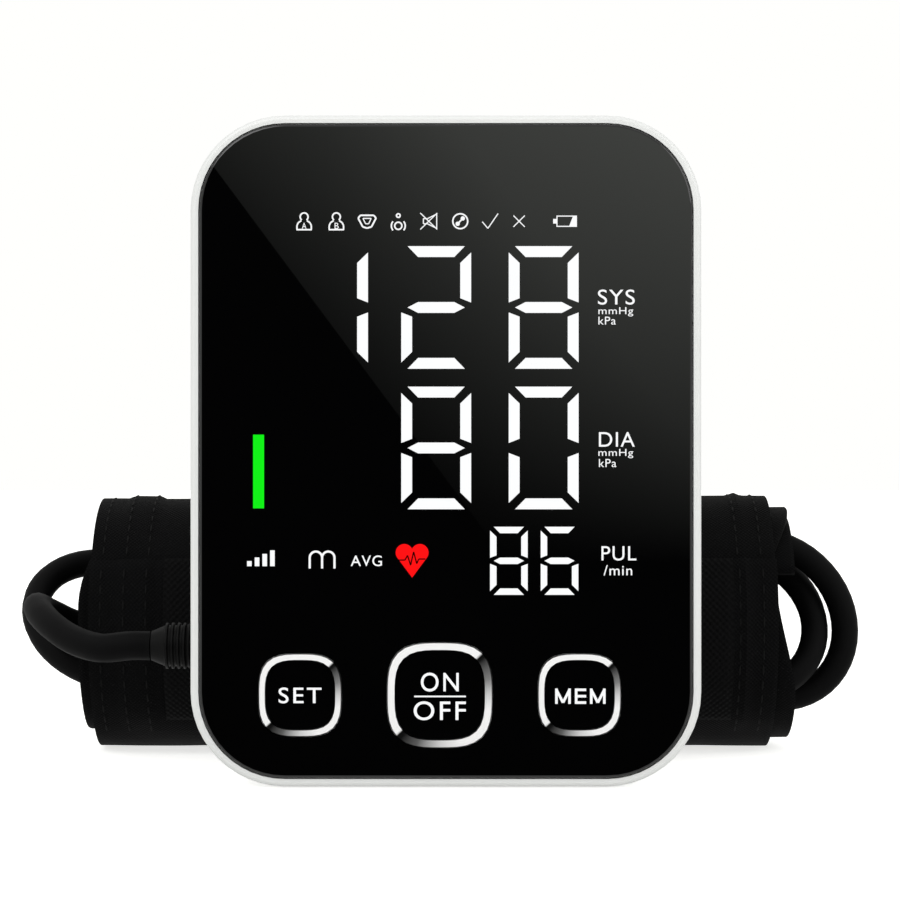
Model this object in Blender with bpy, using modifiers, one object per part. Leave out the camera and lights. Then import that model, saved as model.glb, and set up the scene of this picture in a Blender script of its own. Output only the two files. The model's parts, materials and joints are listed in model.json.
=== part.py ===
"""Upper arm blood pressure monitor with its rolled cuff and air hose, in metres, +Z up.

The monitor stands on its base at the origin with its face towards -Y. The cuff lies rolled
behind it, along X, with the hose folded through the roll and plugged into the left wall.
"""

import math

import bmesh
import bpy
from mathutils import Matrix, Vector
from mathutils.geometry import interpolate_bezier

# Clearances: between pieces that rest on each other, and between pieces that slide
SEAT_GAP = 0.0003
SLIDE_GAP = 0.00025

# Case
BODY_WIDTH = 0.100
BODY_HEIGHT = 0.1314
BODY_DEPTH = 0.048
BODY_CORNER = 0.0185
WALL = 0.002
RIM_WIDTH = 0.0018
RIM_STEP = 0.0005
RIM_ROUND = 0.0008
REAR_ROUND = 0.006
LENS_THICKNESS = 0.002
LENS_EDGE = 0.0005
FACE_WALL = 0.0016
FRONT_SHELL_DEPTH = 0.010
CORNER_STEPS = 12
ROUND_STEPS = 20
EDGE_STEPS = 2

# Display
WINDOW_SIDE = 0.0067
WINDOW_GAP = 0.00015
WINDOW_OVER_KEYS = 0.0165
WINDOW_CORNER = 0.003
FILM_THICKNESS = 0.0003
BIG_DIGIT_WIDTH = 0.0140
BIG_DIGIT_SHARE = 0.2963
SMALL_DIGIT_WIDTH = 0.0080
SMALL_DIGIT_SHARE = 0.1683
DIGIT_PITCH = 0.0210
UNITS_DIGIT_X = 0.0191
SMALL_PITCH = 0.0099
SMALL_UNITS_X = 0.0222
SYS_ROW_SHARE = 0.722
DIA_ROW_SHARE = 0.388
PULSE_ROW_SHARE = 0.1195

# Boards
BOARD_THICKNESS = 0.0016
BOARD_SIDE_GAP = 0.003
BOARD_END_GAP = 0.0042
BOARD_CORNER = 0.012

# Keys
KEY_ROW_X = -0.0012
KEY_ROW_Z = 0.018
KEY_PITCH = 0.0273
KEY_RING = {"set": 0.0159, "power": 0.0203, "memory": 0.0159}
RING_WIDTH = {"set": 0.00105, "power": 0.0013, "memory": 0.00105}
KEY_POWER = 3.2
KEY_STEPS = 40
RING_PROUD = 0.0003
FLANGE_REACH = 0.0008
FLANGE_THICKNESS = 0.0009
KEY_TRAVEL = 0.0006
STEM_RADIUS = 0.0016
SWITCH_SIDE = 0.0062
SWITCH_HEIGHT = 0.0034
PLUNGER_DEPTH = 0.0014

# Screws, their bosses and the feet
SCREW_SIDE = 0.010
SCREW_INSET = 0.012
SCREW_RADIUS = 0.0013
SCREW_HEAD_RADIUS = 0.0028
SCREW_HEAD_HEIGHT = 0.002
SCREW_SEAT_DEPTH = 0.026
SCREW_TIP_DEPTH = 0.006
BOSS_WALL = 0.0012
FOOT_RADIUS = 0.004
FOOT_HEIGHT = 0.0012
FOOT_X = 0.036
FOOT_INSET = 0.030

# Battery bay
CELL_RADIUS = 0.0052
CELL_LENGTH = 0.0436
CELL_NUB_RADIUS = 0.0019
CELL_NUB_LENGTH = 0.0009
CELL_COUNT = 4
CELL_PITCH = 0.0108
CONTACT_THICKNESS = 0.0005
SPRING_LENGTH = 0.0044
SPRING_RADIUS = 0.0030
SPRING_WIRE = 0.0003
SPRING_TURNS = 3
SPRING_STEPS = 8
SPRING_TAPER = 0.35
BAY_DROP = 0.0354
BAY_WALL = 0.0015
DOOR_LEDGE = 0.0025
DOOR_THICKNESS = 0.002
DOOR_STUB_RADIUS = 0.0005
DOOR_STUB_LENGTH = 0.0012
DOOR_NOTCH_WIDTH = 0.014
DOOR_NOTCH_DEPTH = 0.0012
DOOR_NOTCH_HEIGHT = 0.0025

# Air path inside the case
PUMP_X = 0.010
PUMP_Y = 0.005
PUMP_Z = 0.046
PUMP_RADIUS = 0.012
PUMP_WALL = 0.001
CAN_LENGTH = 0.032
HEAD_LENGTH = 0.020
HEAD_CAVITY = 0.010
CRANK_START = 0.004
CRANK_END = 0.008
ROTOR_START = 0.0048
NOZZLE_RADIUS = 0.0015
NOZZLE_LENGTH = 0.004
SHAFT_RADIUS = 0.001
ROTOR_RADIUS = 0.010
CRANK_RADIUS = 0.006
SADDLE_THICKNESS = 0.002
SADDLE_HEIGHT = 0.020
TUBE_RADIUS = 0.002
BEND_RISE = 0.007
MANIFOLD_SIDE = 0.008
SOCKET_TO_MANIFOLD = 0.024
AIR_Y = 0.0
AIR_Z = 0.026
BARB_LENGTH = 0.004
VALVE_SIDE = 0.014
VALVE_HEIGHT = 0.0125
SENSOR_SIDE = 0.013
SENSOR_X = 0.0145
SPEAKER_RADIUS = 0.0125
SPEAKER_DEPTH = 0.005
SPEAKER_CHAMFER = 0.002
SPEAKER_X = 0.020
SPEAKER_Z = 0.020
GRILLE_SLOTS = 5
GRILLE_PITCH = 0.0036
GRILLE_WIDTH = 0.0016
GRILLE_LENGTH = 0.014
USB_WIDTH = 0.009
USB_HEIGHT = 0.0032
USB_LENGTH = 0.0085
USB_WALL = 0.0004
USB_Z = 0.062

# Air socket and hose plug
SOCKET_RADIUS = 0.0047
SOCKET_FLANGE_RADIUS = 0.0065
SOCKET_FLANGE = 0.001
SOCKET_LENGTH = 0.0085
SOCKET_BORE = 0.0028
SOCKET_FLOOR = 0.001
PLUG_NOSE_RADIUS = 0.0024
PLUG_NOSE_LENGTH = 0.0072
PLUG_GRIP_RADIUS = 0.0047
PLUG_GRIP_LENGTH = 0.0084
PLUG_TAPER = 0.003

# Rolled cuff, wound from the bore outwards
ROLL_RADIUS = 0.028
ROLL_GAP = 0.0035
CUFF_WIDTH = 0.1475
CUFF_TURNS = 3
CUFF_STEPS = 30
FABRIC = 0.0004
BLADDER = 0.0003
LAYER_GAP = 0.00025
BLADDER_HEM = 0.012
BLADDER_START = math.radians(60)
TAIL_ANGLE = math.radians(300)
# How far each stretch of the roll has slipped along X: its angle in degrees, then the slip
SLIPS = (
    (-780, 0.0018),
    (-620, 0.0018),
    (-520, -0.0054),
    (-440, -0.0054),
    (-370, 0.0018),
    (-130, 0.0018),
    (-70, -0.0028),
    (300, -0.0028),
)
HOOK_THICKNESS = 0.0005
HOOK_ANGLE = math.radians(75)
HOOK_WIDTH = 0.122
HOOK_X = 0.0005
PORT_X = 0.040
PORT_LENGTH = 0.009
PORT_RADIUS = 0.0026
PORT_FLANGE_RADIUS = 0.006
PORT_FLANGE = 0.001

# Hose: folds of a hank through the roll, then a free lead round to the plug
HOSE_RADIUS = 0.003
FOLD_RADIUS = 0.0173
WAIST = 0.011
FOLD_STEPS = 8
RUN_STEPS = 6
HANK_FOLDS_X = (0.0718, -0.0745, 0.0650)
HANK_LIFTS = (-0.0025, 0.0035, -0.0015)
HANK_TILTS = tuple(math.radians(angle) for angle in (2, 47, 30, 84))
HANK_END_DROP = 0.0015
LEAD_STEPS = 2
# Each point of the lead: how far left of the wall, share of the way from socket to roll, rise
LEAD_POINTS = (
    (0.0103, 1.000, 0.0000),
    (0.0140, 1.000, 0.0000),
    (0.0205, 0.975, 0.0002),
    (0.0266, 0.914, 0.0006),
    (0.0318, 0.822, 0.0014),
    (0.0354, 0.706, 0.0037),
    (0.0371, 0.580, 0.0055),
    (0.0370, 0.450, 0.0063),
    (0.0351, 0.324, 0.0050),
    (0.0314, 0.207, 0.0028),
    (0.0264, 0.108, 0.0005),
    (0.0206, 0.032, -0.0006),
    (0.0145, 0.000, 0.0000),
    (0.0103, 0.000, 0.0000),
)

# Places worked out from the sizes above
FRONT = -BODY_DEPTH / 2
BACK = BODY_DEPTH / 2
LENS_BACK = FRONT + LENS_THICKNESS
FACE_FRONT = LENS_BACK + SEAT_GAP
FACE_BACK = FACE_FRONT + FACE_WALL
PARTING = FRONT + FRONT_SHELL_DEPTH
BOARD_FRONT = PARTING + SEAT_GAP
BOARD_BACK = BOARD_FRONT + BOARD_THICKNESS
BACK_INSIDE = BACK - WALL
LENS_WIDTH = BODY_WIDTH - 2 * RIM_WIDTH
LENS_HEIGHT = BODY_HEIGHT - 2 * RIM_WIDTH
LENS_CORNER = BODY_CORNER - RIM_WIDTH
MIDDLE_Z = BODY_HEIGHT / 2
BOSS_RADIUS = SCREW_RADIUS + SLIDE_GAP + BOSS_WALL
WINDOW_WIDTH = LENS_WIDTH - 2 * WINDOW_SIDE
WINDOW_FLOOR = KEY_ROW_Z + WINDOW_OVER_KEYS
WINDOW_HEIGHT = BODY_HEIGHT - SCREW_INSET - BOSS_RADIUS - WINDOW_GAP - WINDOW_FLOOR
WINDOW_Z = WINDOW_FLOOR + WINDOW_HEIGHT / 2
BIG_DIGIT_HEIGHT = BIG_DIGIT_SHARE * WINDOW_HEIGHT
SMALL_DIGIT_HEIGHT = SMALL_DIGIT_SHARE * WINDOW_HEIGHT
SYS_ROW_Z = WINDOW_FLOOR + SYS_ROW_SHARE * WINDOW_HEIGHT
DIA_ROW_Z = WINDOW_FLOOR + DIA_ROW_SHARE * WINDOW_HEIGHT
PULSE_ROW_Z = WINDOW_FLOOR + PULSE_ROW_SHARE * WINDOW_HEIGHT
BOARD_WIDTH = BODY_WIDTH - 2 * (WALL + BOARD_SIDE_GAP)
BOARD_HEIGHT = BODY_HEIGHT - 2 * (WALL + BOARD_END_GAP)
SCREW_X = BODY_WIDTH / 2 - SCREW_SIDE
KEYS = ("set", "power", "memory")
SCREW_PLACES = [(x, z) for x in (-SCREW_X, SCREW_X) for z in (SCREW_INSET, BODY_HEIGHT - SCREW_INSET)]
FOOT_PLACES = [(x, z) for x in (-FOOT_X, FOOT_X) for z in (FOOT_INSET, BODY_HEIGHT - FOOT_INSET)]
BAY_CENTRE_Z = BODY_HEIGHT - BAY_DROP
BAY_HEIGHT = CELL_COUNT * CELL_PITCH + 2 * SEAT_GAP
BAY_SPAN = CELL_LENGTH + CELL_NUB_LENGTH + SPRING_LENGTH + 2 * CONTACT_THICKNESS + 5 * SEAT_GAP
DOOR_INSIDE = BACK - DOOR_THICKNESS
BAY_FLOOR = DOOR_INSIDE - 2 * CELL_RADIUS - 2 * SEAT_GAP
DOOR_WIDTH = BAY_SPAN + 2 * DOOR_LEDGE
DOOR_HEIGHT = BAY_HEIGHT + 2 * DOOR_LEDGE
DOOR_AXIS_Y = BACK - DOOR_THICKNESS / 2
DOOR_AXIS_Z = BAY_CENTRE_Z + DOOR_HEIGHT / 2 - DOOR_THICKNESS / 2
LEFT_WALL = -BODY_WIDTH / 2
MANIFOLD_X = LEFT_WALL + SOCKET_TO_MANIFOLD
CUFF_THICKNESS = 2 * FABRIC + BLADDER + 2 * LAYER_GAP
CUFF_PITCH = CUFF_THICKNESS + LAYER_GAP
ROLL_Y = BACK + ROLL_GAP + ROLL_RADIUS
ROLL_Z = ROLL_RADIUS
PLUG_END_X = LEFT_WALL - SOCKET_FLANGE - 2 * SEAT_GAP - PLUG_GRIP_LENGTH
HANK_END_X = PLUG_END_X

for old in list(bpy.data.objects):
    bpy.data.objects.remove(old, do_unlink=True)

PARTS = bpy.data.collections.new("blood_pressure_monitor")
CUTTERS = bpy.data.collections.new("cutters")
for group in (PARTS, CUTTERS):
    bpy.context.scene.collection.children.link(group)

FINISHES = {
    "white_plastic": ((0.86, 0.87, 0.86), 0.38, 0.0),
    "black_lens": ((0.006, 0.006, 0.007), 0.06, 0.0),
    "chrome_ring": ((0.85, 0.86, 0.87), 0.12, 1.0),
    "light_guide": ((0.90, 0.90, 0.88), 0.55, 0.0),
    "board": ((0.03, 0.20, 0.09), 0.45, 0.0),
    "dark_plastic": ((0.02, 0.02, 0.022), 0.45, 0.0),
    "steel": ((0.62, 0.63, 0.65), 0.28, 1.0),
    "clear_tube": ((0.75, 0.76, 0.74), 0.35, 0.0),
    "cell_jacket": ((0.10, 0.12, 0.16), 0.35, 0.0),
    "grey_rubber": ((0.20, 0.20, 0.21), 0.80, 0.0),
    "black_nylon": ((0.010, 0.010, 0.011), 0.82, 0.0),
    "black_hose": ((0.008, 0.008, 0.009), 0.42, 0.0),
}


def finish(name):
    """The material of that name, made once."""
    if name not in bpy.data.materials:
        colour, roughness, metallic = FINISHES[name]
        material = bpy.data.materials.new(name)
        material.use_nodes = True
        shader = material.node_tree.nodes["Principled BSDF"]
        shader.inputs["Base Color"].default_value = (*colour, 1)
        shader.inputs["Roughness"].default_value = roughness
        shader.inputs["Metallic"].default_value = metallic
    return bpy.data.materials[name]


def place(name, data, look=None):
    """A new object in the parts collection, or in the cutters collection where it has no look."""
    piece = bpy.data.objects.new(name, data)
    if look:
        PARTS.objects.link(piece)
        data.materials.append(finish(look))
    else:
        CUTTERS.objects.link(piece)
        piece.hide_render = True
        piece.display_type = "WIRE"
    return piece


def from_bmesh(name, shape, look=None):
    """An object of a finished bmesh, with round sides shaded smooth."""
    mesh = bpy.data.meshes.new(name)
    shape.to_mesh(mesh)
    shape.free()
    mesh.shade_smooth()
    mesh.set_sharp_from_angle(angle=math.radians(35))
    return place(name, mesh, look)


def meshed(curve, look=None):
    """The curve object made a mesh with its caps welded, in the curve's place."""
    bpy.context.view_layer.update()
    graph = bpy.context.evaluated_depsgraph_get()
    mesh = bpy.data.meshes.new_from_object(curve.evaluated_get(graph))
    mesh.materials.clear()
    matrix = curve.matrix_world.copy()
    name = curve.name
    bpy.data.objects.remove(curve, do_unlink=True)
    shape = bmesh.new()
    shape.from_mesh(mesh)
    bmesh.ops.remove_doubles(shape, verts=shape.verts, dist=1e-6)
    piece = from_bmesh(name, shape, look)
    piece.matrix_world = matrix
    return piece


def rounded_rectangle(width, height, corner, centre_x=0.0, centre_z=0.0):
    """Points round a rectangle with arcs at its corners."""
    points = []
    for quarter, (side, end) in enumerate(((1, 1), (-1, 1), (-1, -1), (1, -1))):
        middle_x = centre_x + side * (width / 2 - corner)
        middle_z = centre_z + end * (height / 2 - corner)
        for step in range(CORNER_STEPS + 1):
            angle = math.radians(90) * (quarter + step / CORNER_STEPS)
            points.append((middle_x + corner * math.cos(angle), middle_z + corner * math.sin(angle)))
    return points


def body_outline(inset):
    """The case's outline from the front, drawn in by that much."""
    return rounded_rectangle(
        BODY_WIDTH - 2 * inset, BODY_HEIGHT - 2 * inset, BODY_CORNER - inset, 0, MIDDLE_Z
    )


def key_outline(key, size):
    """Points round a key's squared circle of that size."""
    points = []
    for step in range(KEY_STEPS):
        angle = 2 * math.pi * step / KEY_STEPS
        across, up = math.cos(angle), math.sin(angle)
        reach = size / 2 / (abs(across) ** KEY_POWER + abs(up) ** KEY_POWER) ** (1 / KEY_POWER)
        points.append((key_x(key) + reach * across, KEY_ROW_Z + reach * up))
    return points


def key_x(key):
    return KEY_ROW_X + KEY_PITCH * (KEYS.index(key) - 1)


def plate(name, outlines, front, back, look=None, edge=0.0):
    """A flat piece between two depths, from an outer outline and its holes, with rounded edges."""
    curve = bpy.data.curves.new(name, "CURVE")
    curve.dimensions = "2D"
    curve.fill_mode = "BOTH"
    curve.extrude = (back - front) / 2 - edge
    curve.bevel_depth = edge
    curve.offset = -edge
    curve.bevel_resolution = EDGE_STEPS
    for outline in outlines:
        spline = curve.splines.new("POLY")
        spline.points.add(len(outline) - 1)
        for point, (x, z) in zip(spline.points, outline):
            point.co = (x, z, 0, 1)
        spline.use_cyclic_u = True
    guide = place(name, curve)
    guide.matrix_world = Matrix.Translation((0, (front + back) / 2, 0)) @ Matrix.Rotation(
        math.radians(90), 4, "X"
    )
    return meshed(guide, look)


def box(name, low, high, look=None):
    """A block between two corners."""
    shape = bmesh.new()
    bmesh.ops.create_cube(shape, size=1)
    low, high = Vector(low), Vector(high)
    bmesh.ops.scale(shape, vec=high - low, verts=shape.verts)
    bmesh.ops.translate(shape, vec=(low + high) / 2, verts=shape.verts)
    return from_bmesh(name, shape, look)


def rod(name, start, end, radius, look=None, steps=ROUND_STEPS):
    """A round bar between two points."""
    start, end = Vector(start), Vector(end)
    shape = bmesh.new()
    bmesh.ops.create_cone(
        shape, cap_ends=True, segments=steps, radius1=radius, radius2=radius, depth=(end - start).length
    )
    piece = from_bmesh(name, shape, look)
    piece.matrix_world = Matrix.Translation((start + end) / 2) @ (
        (end - start).to_track_quat("Z", "Y").to_matrix().to_4x4()
    )
    return piece


def turned(name, profile, origin, axis, look=None, steps=ROUND_STEPS):
    """A profile of radius and height turned about an axis, listed down its outer side."""
    shape = bmesh.new()
    corners = [shape.verts.new((radius, 0, height)) for radius, height in profile]
    for first, second in zip(corners, corners[1:]):
        shape.edges.new((first, second))
    piece = from_bmesh(name, shape, look)
    piece.matrix_world = Matrix.Translation(origin) @ (
        Vector(axis).to_track_quat("Z", "Y").to_matrix().to_4x4()
    )
    screw = piece.modifiers.new("turn", "SCREW")
    screw.axis = "Z"
    screw.steps = screw.render_steps = steps
    screw.use_merge_vertices = True
    screw.merge_threshold = 1e-6
    screw.use_smooth_shade = True
    return piece


def tube(name, points, radius, look, sides):
    """A round tube with capped ends along a row of points."""
    curve = bpy.data.curves.new(name, "CURVE")
    curve.dimensions = "3D"
    curve.bevel_depth = radius
    curve.bevel_resolution = sides
    curve.use_fill_caps = True
    spline = curve.splines.new("POLY")
    spline.points.add(len(points) - 1)
    for point, place_of in zip(spline.points, points):
        point.co = (*place_of, 1)
    return place(name, curve, look)


def change(piece, operation, others):
    """Boolean modifiers that cut the others from a piece or join them to it."""
    for other in others:
        boolean = piece.modifiers.new(other.name, "BOOLEAN")
        boolean.operation = operation
        boolean.object = other


def cut(piece, *cutters):
    change(piece, "DIFFERENCE", cutters)


def join(piece, *additions):
    change(piece, "UNION", additions)


def smooth_route(points, steps):
    """Points along the smooth curve that runs through a row of points."""
    points = [Vector(point) for point in points]
    padded = [2 * points[0] - points[1], *points, 2 * points[-1] - points[-2]]
    route = []
    for before, start, end, after in zip(padded, padded[1:], padded[2:], padded[3:]):
        for step in range(steps):
            t = step / steps
            route.append(
                0.5
                * (
                    2 * start
                    + (end - before) * t
                    + (2 * before - 5 * start + 4 * end - after) * t**2
                    + (3 * start - before - 3 * end + after) * t**3
                )
            )
    return route + [points[-1]]


def least_gap(points, radius, apart):
    """The least gap of a tube to itself, between points that far apart along it."""
    along = [0.0]
    for first, second in zip(points, points[1:]):
        along.append(along[-1] + (second - first).length)
    gaps = []
    for i, first in enumerate(points):
        for j in range(i + 1, len(points)):
            if along[j] - along[i] > apart:
                gaps.append((points[j] - first).length - 2 * radius)
    return min(gaps)


def eased(t):
    """A share from 0 to 1 that starts and ends level."""
    return t * t * (3 - 2 * t)


def make_front_lens():
    """The glossy black face with a hole for each key's ring."""
    lens = plate("front_lens", [body_outline(RIM_WIDTH)], FRONT, LENS_BACK, "black_lens", LENS_EDGE)
    for key in KEYS:
        hole = key_outline(key, KEY_RING[key] + 2 * SLIDE_GAP)
        cut(lens, plate(f"{key}_hole", [hole], FRONT - LENS_THICKNESS, LENS_BACK + LENS_THICKNESS))


def make_front_shell():
    """The white front case: rim, face wall with its openings, and the screw bosses."""
    shell = plate(
        "front_shell", [body_outline(0)], FRONT + RIM_STEP, PARTING, "white_plastic", RIM_ROUND
    )
    pocket = body_outline(RIM_WIDTH - SLIDE_GAP)
    window = rounded_rectangle(WINDOW_WIDTH, WINDOW_HEIGHT, WINDOW_CORNER, 0, WINDOW_Z)
    beyond = FRONT - LENS_THICKNESS
    cut(
        shell,
        plate("lens_pocket", [pocket], beyond, FACE_FRONT),
        plate("front_cavity", [body_outline(WALL)], FACE_BACK, PARTING + WALL),
        plate("display_window", [window], beyond, PARTING),
    )
    for key in KEYS:
        opening = key_outline(key, KEY_RING[key] + 2 * (FLANGE_REACH + SLIDE_GAP))
        cut(shell, plate(f"{key}_opening", [opening], beyond, PARTING))
    for number, (x, z) in enumerate(SCREW_PLACES, 1):
        boss = rod(
            f"front_boss_{number}",
            (x, FACE_FRONT + FACE_WALL / 2, z),
            (x, PARTING - SEAT_GAP, z),
            BOSS_RADIUS,
        )
        join(shell, boss)
    for number, (x, z) in enumerate(SCREW_PLACES, 1):
        pilot = rod(
            f"pilot_{number}",
            (x, FRONT + SCREW_TIP_DEPTH - SEAT_GAP, z),
            (x, PARTING + WALL, z),
            SCREW_RADIUS + SLIDE_GAP,
            steps=16,
        )
        cut(shell, pilot)


def make_rear_shell():
    """The white rear case with its battery tray, bosses, pump saddles and wall openings."""
    start = PARTING + SEAT_GAP
    outside = start - REAR_ROUND - WALL
    shell = plate("rear_shell", [body_outline(0)], outside, BACK, "white_plastic", REAR_ROUND)
    cut(
        shell,
        plate("rear_cavity", [body_outline(WALL)], outside - WALL, BACK_INSIDE, edge=REAR_ROUND - WALL),
        box(
            "parting_cut",
            (-BODY_WIDTH, outside - REAR_ROUND, -BODY_HEIGHT),
            (BODY_WIDTH, start, 2 * BODY_HEIGHT),
        ),
    )
    tray = DOOR_WIDTH / 2 + SEAT_GAP + BAY_WALL
    tray_low = BAY_CENTRE_Z - DOOR_HEIGHT / 2 - SEAT_GAP - BAY_WALL
    tray_high = BAY_CENTRE_Z + DOOR_HEIGHT / 2 + SEAT_GAP + BAY_WALL
    join(
        shell,
        box("battery_tray", (-tray, BAY_FLOOR - BAY_WALL, tray_low), (tray, BACK - WALL / 2, tray_high)),
    )
    for number, x in enumerate((PUMP_X - HEAD_LENGTH / 2, PUMP_X + CAN_LENGTH / 2), 1):
        saddle = box(
            f"saddle_{number}",
            (x - SADDLE_THICKNESS / 2, PUMP_Y, PUMP_Z - SADDLE_HEIGHT / 2),
            (x + SADDLE_THICKNESS / 2, BACK - WALL / 2, PUMP_Z + SADDLE_HEIGHT / 2),
        )
        join(shell, saddle)
    seat = FRONT + SCREW_SEAT_DEPTH
    for number, (x, z) in enumerate(SCREW_PLACES, 1):
        boss = rod(
            f"rear_boss_{number}",
            (x, BOARD_BACK + SEAT_GAP, z),
            (x, BACK - WALL / 2, z),
            SCREW_HEAD_RADIUS + SLIDE_GAP + BOSS_WALL,
        )
        join(shell, boss)
    cut(
        shell,
        rod(
            "pump_seat",
            (PUMP_X - HEAD_LENGTH - WALL, PUMP_Y, PUMP_Z),
            (PUMP_X + CAN_LENGTH + WALL, PUMP_Y, PUMP_Z),
            PUMP_RADIUS + SEAT_GAP,
        ),
    )
    for number, (x, z) in enumerate(SCREW_PLACES, 1):
        shank = rod(
            f"shank_hole_{number}", (x, start, z), (x, BACK, z), SCREW_RADIUS + SLIDE_GAP, steps=16
        )
        head = rod(f"head_hole_{number}", (x, seat, z), (x, BACK + WALL, z), SCREW_HEAD_RADIUS + SLIDE_GAP)
        cut(shell, shank, head)
    usb = USB_WIDTH / 2 + SEAT_GAP
    bay = BAY_SPAN / 2
    door = DOOR_WIDTH / 2 + SEAT_GAP
    low, high = BAY_CENTRE_Z - BAY_HEIGHT / 2, BAY_CENTRE_Z + BAY_HEIGHT / 2
    cut(
        shell,
        box("bay", (-bay, BAY_FLOOR, low), (bay, BACK + WALL, high)),
        box(
            "door_recess",
            (-door, DOOR_INSIDE - SEAT_GAP, BAY_CENTRE_Z - DOOR_HEIGHT / 2 - SEAT_GAP),
            (door, BACK + WALL, BAY_CENTRE_Z + DOOR_HEIGHT / 2 + SEAT_GAP),
        ),
        rod(
            "door_pivot",
            (-door - DOOR_STUB_LENGTH, DOOR_AXIS_Y, DOOR_AXIS_Z),
            (door + DOOR_STUB_LENGTH, DOOR_AXIS_Y, DOOR_AXIS_Z),
            DOOR_STUB_RADIUS + SLIDE_GAP,
            steps=12,
        ),
        rod(
            "socket_hole",
            (LEFT_WALL - WALL, AIR_Y, AIR_Z),
            (LEFT_WALL + 2 * WALL, AIR_Y, AIR_Z),
            SOCKET_RADIUS + SLIDE_GAP,
        ),
        box(
            "usb_slot",
            (BODY_WIDTH / 2 - 2 * WALL, BOARD_BACK, USB_Z - usb),
            (BODY_WIDTH / 2 + WALL, BOARD_BACK + USB_HEIGHT + 2 * SEAT_GAP, USB_Z + usb),
        ),
    )
    for number in range(GRILLE_SLOTS):
        x = SPEAKER_X + GRILLE_PITCH * (number - (GRILLE_SLOTS - 1) / 2)
        slot = box(
            f"grille_{number}",
            (x - GRILLE_WIDTH / 2, BACK_INSIDE - WALL, SPEAKER_Z - GRILLE_LENGTH / 2),
            (x + GRILLE_WIDTH / 2, BACK + WALL, SPEAKER_Z + GRILLE_LENGTH / 2),
        )
        cut(shell, slot)


def make_battery_door():
    """The door over the cells, with a round top edge and two stubs that it turns on."""
    half = DOOR_WIDTH / 2
    axis = (0, DOOR_AXIS_Y, DOOR_AXIS_Z)
    low = BAY_CENTRE_Z - DOOR_HEIGHT / 2
    door = box("battery_door", (-half, DOOR_INSIDE, low), (half, BACK, DOOR_AXIS_Z), "white_plastic")
    door.data.transform(Matrix.Translation(-Vector(axis)))
    door.location = axis
    stub = half + DOOR_STUB_LENGTH
    join(
        door,
        rod("door_round", (-half, *axis[1:]), (half, *axis[1:]), DOOR_THICKNESS / 2),
        rod("door_stubs", (-stub, *axis[1:]), (stub, *axis[1:]), DOOR_STUB_RADIUS, steps=12),
    )
    notch = DOOR_NOTCH_WIDTH / 2
    cut(
        door,
        box(
            "door_notch",
            (-notch, BACK - DOOR_NOTCH_DEPTH, low - WALL),
            (notch, BACK + WALL, low + DOOR_NOTCH_HEIGHT),
        ),
    )


def make_display():
    """The printed film, the light guide with its digit wells, and the circuit board."""
    inset = SEAT_GAP
    outline = rounded_rectangle(
        WINDOW_WIDTH - 2 * inset, WINDOW_HEIGHT - 2 * inset, WINDOW_CORNER - inset, 0, WINDOW_Z
    )
    film_back = FACE_FRONT + FILM_THICKNESS
    plate("display_film", [outline], FACE_FRONT, film_back, "dark_plastic")
    big = (BIG_DIGIT_WIDTH, BIG_DIGIT_HEIGHT)
    wells = [(UNITS_DIGIT_X - DIGIT_PITCH * n, SYS_ROW_Z, *big) for n in range(3)]
    wells += [(UNITS_DIGIT_X - DIGIT_PITCH * n, DIA_ROW_Z, *big) for n in range(2)]
    wells += [
        (SMALL_UNITS_X - SMALL_PITCH * n, PULSE_ROW_Z, SMALL_DIGIT_WIDTH, SMALL_DIGIT_HEIGHT)
        for n in range(2)
    ]
    guide = [outline]
    for x, z, width, height in wells:
        guide.append(
            [
                (x + across * width / 2, z + up * height / 2)
                for across, up in ((1, 1), (-1, 1), (-1, -1), (1, -1))
            ]
        )
    plate("light_guide", guide, film_back + SEAT_GAP, BOARD_FRONT - SEAT_GAP, "light_guide")
    holes = []
    for x, z in SCREW_PLACES:
        radius = SCREW_RADIUS + 2 * SLIDE_GAP
        turns = [2 * math.pi * step / 12 for step in range(12)]
        holes.append([(x + radius * math.cos(turn), z + radius * math.sin(turn)) for turn in turns])
    board = rounded_rectangle(BOARD_WIDTH, BOARD_HEIGHT, BOARD_CORNER, 0, MIDDLE_Z)
    plate("main_board", [board, *holes], BOARD_FRONT, BOARD_BACK, "board")


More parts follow.
